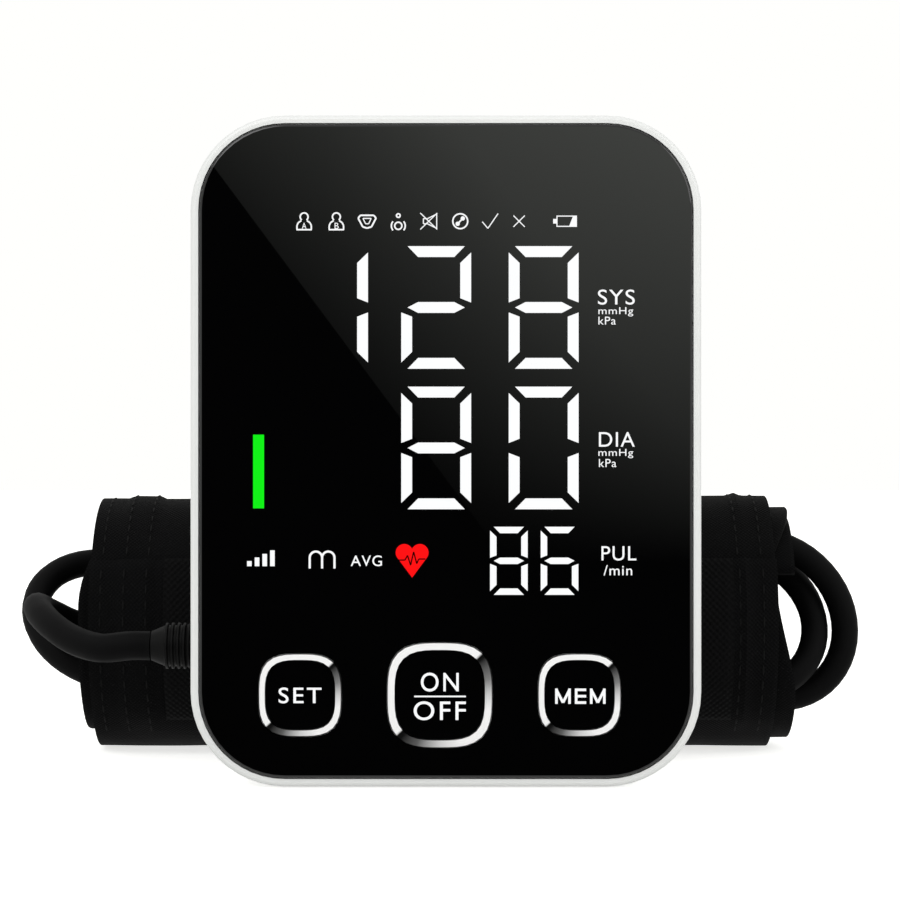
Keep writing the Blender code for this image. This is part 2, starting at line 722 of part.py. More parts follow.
def make_key(key):
    """One key: its chrome ring, the cap that slides in it, and the switch behind."""
    ring, width = KEY_RING[key], RING_WIDTH[key]
    inner = ring - 2 * width
    flange = ring + 2 * FLANGE_REACH
    flange_front = FACE_FRONT
    flange_back = flange_front + FLANGE_THICKNESS
    trim = plate(
        f"key_ring_{key}",
        [key_outline(key, ring), key_outline(key, inner)],
        FRONT - RING_PROUD,
        flange_back,
        "chrome_ring",
    )
    skirt = plate(
        f"{key}_skirt", [key_outline(key, flange), key_outline(key, inner)], flange_front, flange_back
    )
    join(trim, skirt)
    cap_size = inner - 2 * SLIDE_GAP
    lip_front = flange_back + SEAT_GAP
    lip_back = lip_front + FLANGE_THICKNESS
    switch_front = BOARD_FRONT - SEAT_GAP - SWITCH_HEIGHT
    centre = Vector((key_x(key), FRONT, KEY_ROW_Z))
    cap = plate(f"key_cap_{key}", [key_outline(key, cap_size)], FRONT, lip_back, "black_lens")
    matrix = cap.matrix_world.copy()
    cap.data.transform(Matrix.Translation(-centre) @ matrix)
    cap.matrix_world = Matrix.Translation(centre)
    lip = plate(f"{key}_lip", [key_outline(key, inner + FLANGE_REACH)], lip_front, lip_back)
    stem_end = switch_front + PLUNGER_DEPTH - KEY_TRAVEL - SEAT_GAP
    stem = rod(
        f"{key}_stem",
        (centre.x, lip_back - FLANGE_THICKNESS / 2, centre.z),
        (centre.x, stem_end, centre.z),
        STEM_RADIUS,
        steps=16,
    )
    join(cap, lip, stem)
    side = SWITCH_SIDE / 2
    switch = box(
        f"key_switch_{key}",
        (centre.x - side, switch_front, centre.z - side),
        (centre.x + side, BOARD_FRONT - SEAT_GAP, centre.z + side),
        "dark_plastic",
    )
    bore = rod(
        f"{key}_bore",
        (centre.x, switch_front - WALL, centre.z),
        (centre.x, switch_front + PLUNGER_DEPTH, centre.z),
        STEM_RADIUS + SLIDE_GAP,
        steps=16,
    )
    cut(switch, bore)


def make_screws_and_feet():
    """Four case screws from behind, and four round rubber feet on the back."""
    seat = FRONT + SCREW_SEAT_DEPTH + SEAT_GAP
    length = SCREW_SEAT_DEPTH + SEAT_GAP - SCREW_TIP_DEPTH
    for number, (x, z) in enumerate(SCREW_PLACES, 1):
        profile = (
            (0, SCREW_HEAD_HEIGHT),
            (SCREW_HEAD_RADIUS, SCREW_HEAD_HEIGHT),
            (SCREW_HEAD_RADIUS, 0),
            (SCREW_RADIUS, 0),
            (SCREW_RADIUS, -length),
            (0, -length),
        )
        turned(f"case_screw_{number}", profile, (x, seat, z), (0, 1, 0), "steel", 16)
    for number, (x, z) in enumerate(FOOT_PLACES, 1):
        start = BACK + SEAT_GAP
        rod(f"rear_foot_{number}", (x, start, z), (x, start + FOOT_HEIGHT, z), FOOT_RADIUS, "grey_rubber")


def make_batteries():
    """Four cells lying across the bay, each between a coil spring and a contact strip."""
    left = -BAY_SPAN / 2
    strip = CONTACT_THICKNESS
    half = BAY_HEIGHT / 2 - SEAT_GAP
    back = DOOR_INSIDE - 3 * SEAT_GAP
    for name, start in (
        ("spring_strip", left + SEAT_GAP),
        ("contact_strip", -left - SEAT_GAP - strip),
    ):
        box(
            name,
            (start, BAY_FLOOR + SEAT_GAP, BAY_CENTRE_Z - half),
            (start + strip, back, BAY_CENTRE_Z + half),
            "steel",
        )
    spring_start = left + 2 * SEAT_GAP + strip + SPRING_WIRE
    cell_start = left + 2 * SEAT_GAP + strip + SPRING_LENGTH
    y = BAY_FLOOR + SEAT_GAP + CELL_RADIUS
    for number in range(CELL_COUNT):
        z = BAY_CENTRE_Z + CELL_PITCH * (number - (CELL_COUNT - 1) / 2)
        profile = (
            (0, CELL_LENGTH + CELL_NUB_LENGTH),
            (CELL_NUB_RADIUS, CELL_LENGTH + CELL_NUB_LENGTH),
            (CELL_NUB_RADIUS, CELL_LENGTH),
            (CELL_RADIUS, CELL_LENGTH),
            (CELL_RADIUS, SEAT_GAP),
            (0, SEAT_GAP),
        )
        turned(f"battery_{number + 1}", profile, (cell_start, y, z), (1, 0, 0), "cell_jacket", 20)
        coil = []
        for step in range(SPRING_TURNS * SPRING_STEPS + 1):
            share = step / (SPRING_TURNS * SPRING_STEPS)
            angle = 2 * math.pi * step / SPRING_STEPS
            reach = SPRING_RADIUS * (1 - SPRING_TAPER * share)
            x = spring_start + (SPRING_LENGTH - 2 * SPRING_WIRE - SEAT_GAP) * share
            coil.append(Vector((x, y + reach * math.cos(angle), z + reach * math.sin(angle))))
        tube(f"battery_spring_{number + 1}", coil, SPRING_WIRE, "steel", 1)
    gap = least_gap(coil, SPRING_WIRE, 4 * SPRING_WIRE)
    print(f"battery spring, least gap to itself {gap * 1000:.2f} mm")


def make_pump():
    """The air pump along X: the motor's can, its rotor with the crank, and the pump head."""
    origin = (PUMP_X, PUMP_Y, PUMP_Z)
    inside = PUMP_RADIUS - PUMP_WALL
    can = (
        (0, CAN_LENGTH),
        (PUMP_RADIUS, CAN_LENGTH),
        (PUMP_RADIUS, 0),
        (inside, 0),
        (inside, CAN_LENGTH - PUMP_WALL),
        (0, CAN_LENGTH - PUMP_WALL),
    )
    turned("pump_motor_can", can, origin, (1, 0, 0), "steel")
    top = CAN_LENGTH - PUMP_WALL - SEAT_GAP
    rotor = (
        (0, top),
        (ROTOR_RADIUS, top),
        (ROTOR_RADIUS, ROTOR_START),
        (SHAFT_RADIUS, ROTOR_START),
        (SHAFT_RADIUS, -CRANK_START),
        (CRANK_RADIUS, -CRANK_START),
        (CRANK_RADIUS, -CRANK_END),
        (0, -CRANK_END),
    )
    turned("pump_rotor", rotor, origin, (1, 0, 0), "steel")
    head = (
        (0, -HEAD_CAVITY),
        (inside, -HEAD_CAVITY),
        (inside, -SEAT_GAP),
        (PUMP_RADIUS, -SEAT_GAP),
        (PUMP_RADIUS, -HEAD_LENGTH),
        (NOZZLE_RADIUS, -HEAD_LENGTH),
        (NOZZLE_RADIUS, -HEAD_LENGTH - NOZZLE_LENGTH),
        (0, -HEAD_LENGTH - NOZZLE_LENGTH),
    )
    turned("pump_head", head, origin, (1, 0, 0), "dark_plastic")


def make_air_path():
    """The manifold and the pieces joined to it: valve, sensor, socket tube and pump tube."""
    half = MANIFOLD_SIDE / 2
    centre = Vector((MANIFOLD_X, AIR_Y, AIR_Z))
    corner = Vector((half,) * 3)
    manifold = box("air_manifold", centre - corner, centre + corner, "light_guide")
    barb = half + BARB_LENGTH
    for name, reach in (("side_barbs", Vector((barb, 0, 0))), ("end_barbs", Vector((0, 0, barb)))):
        join(manifold, rod(name, centre - reach, centre + reach, NOZZLE_RADIUS, steps=12))
    side = VALVE_SIDE / 2
    floor = WALL + SEAT_GAP
    valve = box(
        "release_valve",
        (MANIFOLD_X - side, AIR_Y - side, floor),
        (MANIFOLD_X + side, AIR_Y + side, floor + VALVE_HEIGHT),
        "steel",
    )
    valve_top = (MANIFOLD_X, AIR_Y, AIR_Z - barb - SEAT_GAP)
    valve_middle = (MANIFOLD_X, AIR_Y, floor + VALVE_HEIGHT / 2)
    join(valve, rod("valve_nozzle", valve_middle, valve_top, NOZZLE_RADIUS, steps=12))
    side = SENSOR_SIDE / 2
    sensor_left = SENSOR_X - side
    sensor = box(
        "pressure_sensor",
        (sensor_left, BOARD_BACK + SEAT_GAP, AIR_Z - side),
        (SENSOR_X + side, AIR_Y + NOZZLE_RADIUS + WALL, AIR_Z + side),
        "dark_plastic",
    )
    nipple = sensor_left - BARB_LENGTH
    sensor_middle = (SENSOR_X, AIR_Y, AIR_Z)
    join(sensor, rod("sensor_nipple", sensor_middle, (nipple, AIR_Y, AIR_Z), NOZZLE_RADIUS, steps=12))
    rod(
        "sensor_tube",
        (MANIFOLD_X + barb + SEAT_GAP, AIR_Y, AIR_Z),
        (nipple - SEAT_GAP, AIR_Y, AIR_Z),
        TUBE_RADIUS,
        "clear_tube",
        12,
    )
    socket_end = LEFT_WALL + SOCKET_LENGTH + BARB_LENGTH
    rod(
        "socket_tube",
        (socket_end + SEAT_GAP, AIR_Y, AIR_Z),
        (MANIFOLD_X - barb - SEAT_GAP, AIR_Y, AIR_Z),
        TUBE_RADIUS,
        "clear_tube",
        12,
    )
    start = Vector((PUMP_X - HEAD_LENGTH - NOZZLE_LENGTH - SEAT_GAP, PUMP_Y, PUMP_Z))
    end = centre + Vector((0, 0, barb + SEAT_GAP))
    over = Vector((end.x, start.y, start.z))
    bend = interpolate_bezier(start, over, end + Vector((0, 0, BEND_RISE)), end, 10)
    tube("pump_tube", bend, TUBE_RADIUS, "clear_tube", 2)


def make_air_socket():
    """The socket in the left wall that takes the hose's plug."""
    origin = (LEFT_WALL, AIR_Y, AIR_Z)
    bore_floor = -SOCKET_LENGTH + SOCKET_FLOOR
    outside = SEAT_GAP + SOCKET_FLANGE
    profile = (
        (0, bore_floor),
        (SOCKET_BORE, bore_floor),
        (SOCKET_BORE, outside),
        (SOCKET_FLANGE_RADIUS, outside),
        (SOCKET_FLANGE_RADIUS, SEAT_GAP),
        (SOCKET_RADIUS, SEAT_GAP),
        (SOCKET_RADIUS, -SOCKET_LENGTH),
        (NOZZLE_RADIUS, -SOCKET_LENGTH),
        (NOZZLE_RADIUS, -SOCKET_LENGTH - BARB_LENGTH),
        (0, -SOCKET_LENGTH - BARB_LENGTH),
    )
    turned("air_socket", profile, origin, (-1, 0, 0), "dark_plastic")


def make_sound_and_power():
    """The speaker on the back wall behind its slots, and the power socket on the board's edge."""
    profile = (
        (0, SPEAKER_DEPTH),
        (SPEAKER_RADIUS - SPEAKER_CHAMFER, SPEAKER_DEPTH),
        (SPEAKER_RADIUS, SPEAKER_DEPTH - SPEAKER_CHAMFER),
        (SPEAKER_RADIUS, 0),
        (0, 0),
    )
    turned("speaker", profile, (SPEAKER_X, BACK_INSIDE - SEAT_GAP, SPEAKER_Z), (0, -1, 0), "dark_plastic")
    mouth = BODY_WIDTH / 2 - SEAT_GAP
    front = BOARD_BACK + SEAT_GAP
    low = Vector((mouth - USB_LENGTH, front, USB_Z - USB_WIDTH / 2))
    high = Vector((mouth, front + USB_HEIGHT, USB_Z + USB_WIDTH / 2))
    socket = box("power_socket", low, high, "steel")
    wall = Vector((USB_WALL,) * 3)
    cut(socket, box("power_mouth", low + 3 * wall, high + Vector((WALL, -USB_WALL, -USB_WALL))))


def roll_point(angle, depth, x):
    """A point on the rolled cuff: its angle from the top over the back, and depth under the face."""
    radius = ROLL_RADIUS + CUFF_PITCH * (angle - math.pi) / (2 * math.pi) - depth
    return Vector((x, ROLL_Y + radius * math.sin(angle), ROLL_Z + radius * math.cos(angle)))


def turn_shift(angle):
    """How far along X the roll has slipped at that angle, eased from one slip to the next."""
    shift = SLIPS[0][1]
    for (first, before), (last, after) in zip(SLIPS, SLIPS[1:]):
        share = (math.degrees(angle) - first) / (last - first)
        shift += (after - before) * eased(min(1, max(0, share)))
    return shift


def rolled_sheet(name, depth, thickness, first, width, middle, look):
    """A sheet of the roll from one angle to the tail, with its middle at that depth."""
    steps = round((TAIL_ANGLE - first) / (2 * math.pi) * CUFF_STEPS)
    shape = bmesh.new()
    rail = []
    for step in range(steps + 1):
        angle = first + (TAIL_ANGLE - first) * step / steps
        shift = middle if middle is not None else turn_shift(angle)
        rail.append(shape.verts.new(roll_point(angle, depth, shift - width / 2)))
    for start, end in zip(rail, rail[1:]):
        shape.edges.new((start, end))
    made = bmesh.ops.extrude_edge_only(shape, edges=shape.edges[:])
    across = [corner for corner in made["geom"] if isinstance(corner, bmesh.types.BMVert)]
    bmesh.ops.translate(shape, vec=(width, 0, 0), verts=across)
    bmesh.ops.recalc_face_normals(shape, faces=shape.faces)
    sheet = from_bmesh(name, shape, look)
    solid = sheet.modifiers.new("thickness", "SOLIDIFY")
    solid.thickness = thickness
    solid.offset = 0
    solid.use_even_offset = True
    return sheet


def make_cuff():
    """The rolled cuff: outer fabric, bladder and lining, the hook patch on its tail and the port."""
    first = TAIL_ANGLE - 2 * math.pi * CUFF_TURNS
    rolled_sheet("cuff_outer_fabric", FABRIC / 2, FABRIC, first, CUFF_WIDTH, None, "black_nylon")
    bladder = FABRIC + LAYER_GAP + BLADDER / 2
    width = CUFF_WIDTH - 2 * BLADDER_HEM
    rolled_sheet("cuff_bladder", bladder, BLADDER, first + BLADDER_START, width, None, "dark_plastic")
    lining = CUFF_THICKNESS - FABRIC / 2
    rolled_sheet("cuff_lining", lining, FABRIC, first, CUFF_WIDTH, None, "black_nylon")
    hook = -LAYER_GAP - HOOK_THICKNESS / 2
    start = TAIL_ANGLE - HOOK_ANGLE
    rolled_sheet("cuff_hook_patch", hook, HOOK_THICKNESS, start, HOOK_WIDTH, HOOK_X, "black_nylon")


def hank_point(x, reach, tilt):
    """A point of the hank, that far above the roll's axis and leaned back by a tilt."""
    return Vector((x, ROLL_Y + reach * math.sin(tilt), ROLL_Z + reach * math.cos(tilt)))


def make_hose():
    """The hose: a hank through the roll with three folds, the lead round to the plug, and its ends."""
    tilt_port = HANK_TILTS[0]
    port_end = PORT_X + PORT_LENGTH
    top = FOLD_RADIUS
    path = [hank_point(port_end + start, top, tilt_port) for start in (SEAT_GAP, 2 * HOSE_RADIUS)]
    side = 1
    for number, fold_x in enumerate(HANK_FOLDS_X):
        tilt = HANK_TILTS[number]
        outward = 1 if number % 2 == 0 else -1
        for step in range(FOLD_STEPS + 1):
            turn = math.pi * step / FOLD_STEPS
            reach = side * FOLD_RADIUS * math.cos(turn)
            swing = math.sin(turn)
            point = hank_point(fold_x + outward * FOLD_RADIUS * swing, reach, tilt)
            path.append(point + Vector((0, 0, HANK_LIFTS[number] * swing)))
        side = -side
        last = number == len(HANK_FOLDS_X) - 1
        end_x = HANK_END_X + 2 * HOSE_RADIUS if last else HANK_FOLDS_X[number + 1]
        for step in range(1, RUN_STEPS + last):
            share = step / RUN_STEPS
            drawn = WAIST + (FOLD_RADIUS - WAIST) * (0.5 + 0.5 * math.cos(2 * math.pi * share))
            if last:
                drawn = FOLD_RADIUS + (HANK_END_DROP - FOLD_RADIUS) * eased(share)
            lean = tilt + (HANK_TILTS[number + 1] - tilt) * eased(share)
            if last and step == RUN_STEPS:
                lean = 0
            path.append(hank_point(fold_x + (end_x - fold_x) * share, side * drawn, lean))
    path.append(hank_point(HANK_END_X, side * HANK_END_DROP, 0))
    tube("hose_hank", path, HOSE_RADIUS, "black_hose", 1)
    gap = least_gap(path, HOSE_RADIUS, FOLD_RADIUS)
    print(f"hose hank, least gap to itself {gap * 1000:.2f} mm")
    drop = Vector((0, ROLL_Y - AIR_Y, ROLL_Z - HANK_END_DROP - AIR_Z))
    socket = Vector((LEFT_WALL, AIR_Y, AIR_Z))
    points = [socket + drop * share + Vector((-left, 0, rise)) for left, share, rise in LEAD_POINTS]
    lead = smooth_route(points, LEAD_STEPS)
    tube("hose_lead", lead, HOSE_RADIUS, "black_hose", 2)
    length = sum((b - a).length for a, b in zip(path, path[1:]))
    length += sum((b - a).length for a, b in zip(lead, lead[1:]))
    print(f"hose length {length:.3f} m")
    origin = (PLUG_END_X, AIR_Y, AIR_Z)
    grip = PLUG_GRIP_LENGTH
    profile = (
        (0, grip + PLUG_NOSE_LENGTH),
        (PLUG_NOSE_RADIUS, grip + PLUG_NOSE_LENGTH),
        (PLUG_NOSE_RADIUS, grip),
        (PLUG_GRIP_RADIUS, grip),
        (PLUG_GRIP_RADIUS, PLUG_TAPER),
        (HOSE_RADIUS, 0),
        (0, 0),
    )
    turned("hose_plug", profile, origin, (1, 0, 0), "dark_plastic")
    seat = hank_point(PORT_X, top, tilt_port)
    port = rod("cuff_port", seat, hank_point(port_end, top, tilt_port), PORT_RADIUS, "dark_plastic", 16)
    outward = Vector((0, math.sin(tilt_port), math.cos(tilt_port)))
    middle = seat + Vector((PORT_RADIUS, 0, 0))
    bore = bore_radius(tilt_port)
    foot = Vector((middle.x, ROLL_Y, ROLL_Z)) + outward * (bore - SEAT_GAP - PORT_FLANGE)
    join(
        port,
        rod("port_neck", middle, foot + outward * PORT_FLANGE / 2, PORT_RADIUS, steps=16),
        rod("port_flange", foot, foot + outward * PORT_FLANGE, PORT_FLANGE_RADIUS, steps=16),
    )


def bore_radius(tilt):
    """The radius of the roll's bore over the port's flat flange, at that angle from the top."""
    angle = tilt + 2 * math.pi * math.floor((TAIL_ANGLE - tilt) / (2 * math.pi))
    while angle - 2 * math.pi > TAIL_ANGLE - 2 * math.pi * CUFF_TURNS:
        angle -= 2 * math.pi
    face = roll_point(angle, CUFF_THICKNESS, 0)
    radius = (face - Vector((0, ROLL_Y, ROLL_Z))).length * math.cos(math.pi / CUFF_STEPS)
    return math.sqrt(radius**2 - PORT_FLANGE_RADIUS**2)


make_front_lens()
make_front_shell()
make_rear_shell()
make_battery_door()
make_display()
for key_name in KEYS:
    make_key(key_name)
make_screws_and_feet()
make_batteries()
make_pump()
make_air_path()
make_air_socket()
make_sound_and_power()
make_cuff()
make_hose()
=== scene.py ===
"""Looks of an upper arm blood pressure monitor with its rolled cuff and air hose, in metres, +Z up."""

import json
import math

import bmesh
import bpy
from mathutils import Matrix, Vector


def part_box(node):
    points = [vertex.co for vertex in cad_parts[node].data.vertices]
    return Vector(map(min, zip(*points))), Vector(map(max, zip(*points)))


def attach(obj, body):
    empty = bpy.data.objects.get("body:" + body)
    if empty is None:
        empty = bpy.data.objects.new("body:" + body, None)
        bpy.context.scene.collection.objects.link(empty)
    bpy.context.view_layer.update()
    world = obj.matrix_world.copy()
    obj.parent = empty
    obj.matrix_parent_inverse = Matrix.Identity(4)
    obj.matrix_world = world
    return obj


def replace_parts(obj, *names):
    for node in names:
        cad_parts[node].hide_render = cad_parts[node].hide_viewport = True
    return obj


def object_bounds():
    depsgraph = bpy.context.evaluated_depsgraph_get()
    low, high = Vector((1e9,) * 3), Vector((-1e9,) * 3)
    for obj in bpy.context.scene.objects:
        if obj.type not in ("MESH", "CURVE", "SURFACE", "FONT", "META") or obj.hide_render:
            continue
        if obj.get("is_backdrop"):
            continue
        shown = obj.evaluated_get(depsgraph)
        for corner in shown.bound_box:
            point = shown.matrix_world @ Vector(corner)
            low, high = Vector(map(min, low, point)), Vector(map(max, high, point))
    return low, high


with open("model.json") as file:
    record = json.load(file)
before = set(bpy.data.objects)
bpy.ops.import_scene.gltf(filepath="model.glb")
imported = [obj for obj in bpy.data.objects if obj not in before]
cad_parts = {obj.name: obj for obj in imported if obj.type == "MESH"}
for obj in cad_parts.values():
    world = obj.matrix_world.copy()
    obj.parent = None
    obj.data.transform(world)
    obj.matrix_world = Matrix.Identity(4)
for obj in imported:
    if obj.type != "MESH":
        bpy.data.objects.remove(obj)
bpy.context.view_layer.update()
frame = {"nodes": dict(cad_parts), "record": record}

# The case is two white ABS mouldings and a battery door, with a fine eroded grain.
# Four screws from behind hold the halves together, and the door turns on two small stubs.


class Wire:
    """A socket of a material, with its sums written as Python expressions."""

    def __init__(self, tree, socket=None):
        self.tree = tree
        self.socket = socket

    def node(self, kind, settings, inputs, output=0):
        """A new node of that type, with its settings first and then its sockets' values or links."""
        made = self.tree.nodes.new("ShaderNode" + kind)
        for name, value in settings.items():
            if name == "stops":
                for position, level in value[1:-1]:
                    made.color_ramp.elements.new(position)
                for stop, (position, level) in zip(made.color_ramp.elements, value):
                    stop.position = position
                    stop.color = (level, level, level, 1)
            else:
                setattr(made, name, value)
        for name, value in inputs.items():
            if isinstance(value, Wire):
                self.tree.links.new(value.socket, made.inputs[name])
            else:
                made.inputs[name].default_value = value
        return Wire(self.tree, made.outputs[output])

    def math(self, operation, first, second):
        return self.node("Math", {"operation": operation}, {0: first, 1: second})

    def __add__(self, other):
        return self.math("ADD", self, other)

    def __sub__(self, other):
        return self.math("SUBTRACT", self, other)

    def __rsub__(self, other):
        return self.math("SUBTRACT", other, self)

    def __mul__(self, other):
        return self.math("MULTIPLY", self, other)

    __radd__ = __add__
    __rmul__ = __mul__


def new_finish(name, constants):
    """A material with those values on its shader's own sockets, and a wire to start its nodes from."""
    material = bpy.data.materials.new(name)
    material.use_nodes = True
    shader = material.node_tree.nodes["Principled BSDF"]
    for socket, value in constants.items():
        shader.inputs[socket].default_value = value
    return material, Wire(material.node_tree)


def feed(material, links):
    """Links wires to the shader's sockets."""
    shader = material.node_tree.nodes["Principled BSDF"]
    for socket, wire in links.items():
        material.node_tree.links.new(wire.socket, shader.inputs[socket])
    return material


def moulded_plastic(name, colour, roughness, grain=0.00002, specular=0.5):
    """Moulded plastic: an eroded grain, and gloss and colour that vary a little over the surface."""
    material, start = new_finish(name, {"Specular IOR Level": specular})
    place = start.node("TexCoord", {}, {}, "Object")
    grains = start.node("TexNoise", {}, {"Vector": place, "Scale": 1600, "Detail": 2}, 0)
    cloud = start.node("TexNoise", {}, {"Vector": place, "Scale": 55, "Detail": 3}, 0)
    deep = tuple(0.94 * part for part in colour) + (1,)
    tint = start.node("Mix", {"data_type": "RGBA"}, {"Factor": cloud, 6: deep, 7: (*colour, 1)}, 2)
    bump = start.node("Bump", {}, {"Strength": 0.35, "Distance": grain, "Height": grains}, "Normal")
    gloss = roughness - 0.05 + 0.1 * cloud
    return feed(material, {"Base Color": tint, "Roughness": gloss, "Normal": bump})


body_of = {node: body for body, nodes in frame["record"]["behaviour"]["bodies"].items() for node in nodes}
SHARP = math.radians(35)
SQUARE = 0.9995


def finished(name, shape, material, body, flat=False):
    """The piece of a finished bmesh, shaded smooth up to its edges and riding on that body.

    With flat, the faces square to an axis keep their own normals, so that they mirror evenly.
    """
    mesh = bpy.data.meshes.new(name)
    shape.to_mesh(mesh)
    shape.free()
    mesh.shade_smooth()
    mesh.set_sharp_from_angle(angle=SHARP)
    for face in mesh.polygons:
        face.use_smooth = not flat or max(abs(part) for part in face.normal) < SQUARE
    mesh.materials.append(material)
    piece = bpy.data.objects.new(name, mesh)
    bpy.context.scene.collection.objects.link(piece)
    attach(piece, body)
    return piece


def dress(node, material, flat=False):
    """A merged copy of a CAD node, with its round sides shaded smooth, in place of the node."""
    shape = bmesh.new()
    shape.from_mesh(frame["nodes"][node].data)
    bmesh.ops.remove_doubles(shape, verts=shape.verts, dist=1e-6)
    piece = finished(node + "_skin", shape, material, body_of[node], flat)
    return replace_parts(piece, node)


white_case = moulded_plastic("white_case", (0.80, 0.81, 0.80), 0.40)
for node in ("rear_shell", "front_shell", "battery_door"):
    dress(node, white_case, flat=True)

# The case screws are zinc-plated steel in deep bores, and the four feet are grey rubber discs
# glued to the back so that the monitor can also lie flat.


def worn_metal(name, colour, roughness):
    """Plated metal with fine uneven polish."""
    material, start = new_finish(name, {"Metallic": 1.0})
    place = start.node("TexCoord", {}, {}, "Object")
    cloud = start.node("TexNoise", {}, {"Vector": place, "Scale": 420, "Detail": 4}, 0)
    dull = tuple(0.82 * part for part in colour) + (1,)
    tint = start.node("Mix", {"data_type": "RGBA"}, {"Factor": cloud, 6: dull, 7: (*colour, 1)}, 2)
    return feed(material, {"Base Color": tint, "Roughness": roughness - 0.08 + 0.16 * cloud})


plated_steel = worn_metal("plated_steel", (0.62, 0.63, 0.65), 0.30)
foot_rubber = moulded_plastic("foot_rubber", (0.20, 0.20, 0.21), 0.80, 0.00004, 0.3)
for number in range(1, 5):
    dress(f"case_screw_{number}", plated_steel)
    dress(f"rear_foot_{number}", foot_rubber)

# The circuit board is green solder mask on glass cloth, held between the halves. It carries the
# switches, the pressure sensor and the power socket, and the light guide stands in front of it.
solder_mask, start = new_finish("solder_mask", {"Coat Weight": 0.3, "Coat Roughness": 0.2})
place = start.node("TexCoord", {}, {}, "Object")
cloth = start.node("TexBrick", {}, {"Vector": place, "Scale": 900}, 1)
cloud = start.node("TexNoise", {}, {"Vector": place, "Scale": 130, "Detail": 2}, 0)
mask_green = {"Factor": cloud, 6: (0.012, 0.13, 0.05, 1), 7: (0.03, 0.21, 0.09, 1)}
tint = start.node("Mix", {"data_type": "RGBA"}, mask_green, 2)
weave = start.node("Bump", {}, {"Strength": 0.2, "Distance": 0.00003, "Height": cloth}, "Normal")
feed(solder_mask, {"Base Color": tint, "Roughness": 0.36 + 0.15 * cloud, "Normal": weave})
dress("main_board", solder_mask)
black_moulding = moulded_plastic("black_moulding", (0.016, 0.016, 0.018), 0.45)
milky_plastic = moulded_plastic("milky_plastic", (0.84, 0.84, 0.82), 0.55)
for node in ("light_guide", "air_manifold"):
    dress(node, milky_plastic)
for node in ("display_film", "pump_head", "pressure_sensor", "air_socket", "speaker"):
    dress(node, black_moulding)
for key in ("set", "power", "memory"):
    dress(f"key_switch_{key}", black_moulding)

# The pump, the release valve, the power socket and the battery contacts are plated steel, and
# silicone tubes join the air path. The cells have a dark printed jacket with a bare end.
PLATED = ("pump_motor_can", "pump_rotor", "release_valve", "power_socket", "spring_strip", "contact_strip")
for node in PLATED:
    dress(node, plated_steel)
silicone = moulded_plastic("silicone", (0.72, 0.73, 0.70), 0.34, 0.00001)
for node in ("sensor_tube", "socket_tube", "pump_tube"):
    dress(node, silicone)
cell_jacket, start = new_finish("cell_jacket", {"Coat Weight": 0.4, "Coat Roughness": 0.15})
cell_low, cell_high = (Vector(corner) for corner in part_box("battery_1"))
CELL_SHOULDER = 0.009
CELL_END = 0.0007
place = start.node("TexCoord", {}, {}, "Object")
along = start.node("SeparateXYZ", {}, {"Vector": place}, "X")
band = start.math("GREATER_THAN", along, cell_high.x - CELL_SHOULDER)
bare = start.math("GREATER_THAN", along, cell_high.x - 2 * CELL_END)
bare = start.math("MAXIMUM", bare, start.math("LESS_THAN", along, cell_low.x + CELL_END))
jacket = {"Factor": band, 6: (0.035, 0.05, 0.09, 1), 7: (0.42, 0.26, 0.07, 1)}
jacket = start.node("Mix", {"data_type": "RGBA"}, jacket, 2)
jacket = start.node("Mix", {"data_type": "RGBA"}, {"Factor": bare, 6: jacket, 7: (0.65, 0.65, 0.66, 1)}, 2)
feed(cell_jacket, {"Base Color": jacket, "Roughness": 0.34 - 0.06 * bare, "Metallic": bare})
for number in range(1, 5):
    dress(f"battery_{number}", cell_jacket)
    dress(f"battery_spring_{number}", plated_steel)

# The front lens is black acrylic over the whole face, glued into the white rim. Its edge is
# chamfered, and it is polished, so that it mirrors the studio.
LENS_BLACK = (0.0003, 0.0003, 0.0004, 1)
ACRYLIC_IOR = 1.49
gloss_black, start = new_finish("gloss_black", {"Base Color": LENS_BLACK, "IOR": ACRYLIC_IOR})
place = start.node("TexCoord", {}, {}, "Object")
smear = start.node("TexNoise", {}, {"Vector": place, "Scale": 38, "Detail": 4}, 0)
feed(gloss_black, {"Roughness": 0.004 + 0.012 * smear})
dress("front_lens", gloss_black, flat=True)
lens_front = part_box("front_lens")[0][1]

# The lit display: white, green and red inlays that shine through clear windows in the lens.
# The numbers are of seven strokes, with small marks above them and the names of the rows beside.


def shining(name, colour, strength):
    """A lit window, a little uneven from the light guide behind it."""
    unlit = tuple(0.2 * part for part in colour) + (1,)
    constants = {"Base Color": unlit, "Roughness": 0.4, "Specular IOR Level": 0.05}
    material, start = new_finish(name, {**constants, "Emission Strength": strength})
    place = start.node("TexCoord", {}, {}, "Object")
    cloud = start.node("TexNoise", {}, {"Vector": place, "Scale": 140, "Detail": 1}, 0)
    dim = tuple(0.93 * part for part in colour) + (1,)
    glow = start.node("Mix", {"data_type": "RGBA"}, {"Factor": cloud, 6: dim, 7: (*colour, 1)}, 2)
    return feed(material, {"Emission Color": glow})


white_light = shining("white_light", (0.96, 0.97, 0.98), 0.85)
green_light = shining("green_light", (0.003, 0.86, 0.006), 0.85)
red_light = shining("red_light", (0.98, 0.003, 0.004), 0.85)
MM = 0.001
PROUD = 0.00003
INLAY = 0.0002


def inlay(name, outlines, material, body="monitor", front=lens_front):
    """Flat outlines, given in millimetres across and up, as thin plates let into the face."""
    shape = bmesh.new()
    for outline in outlines:
        corners = [shape.verts.new((x * MM, front - PROUD, z * MM)) for x, z in outline]
        shape.faces.new(corners)
    return let_in(name, shape, material, body)


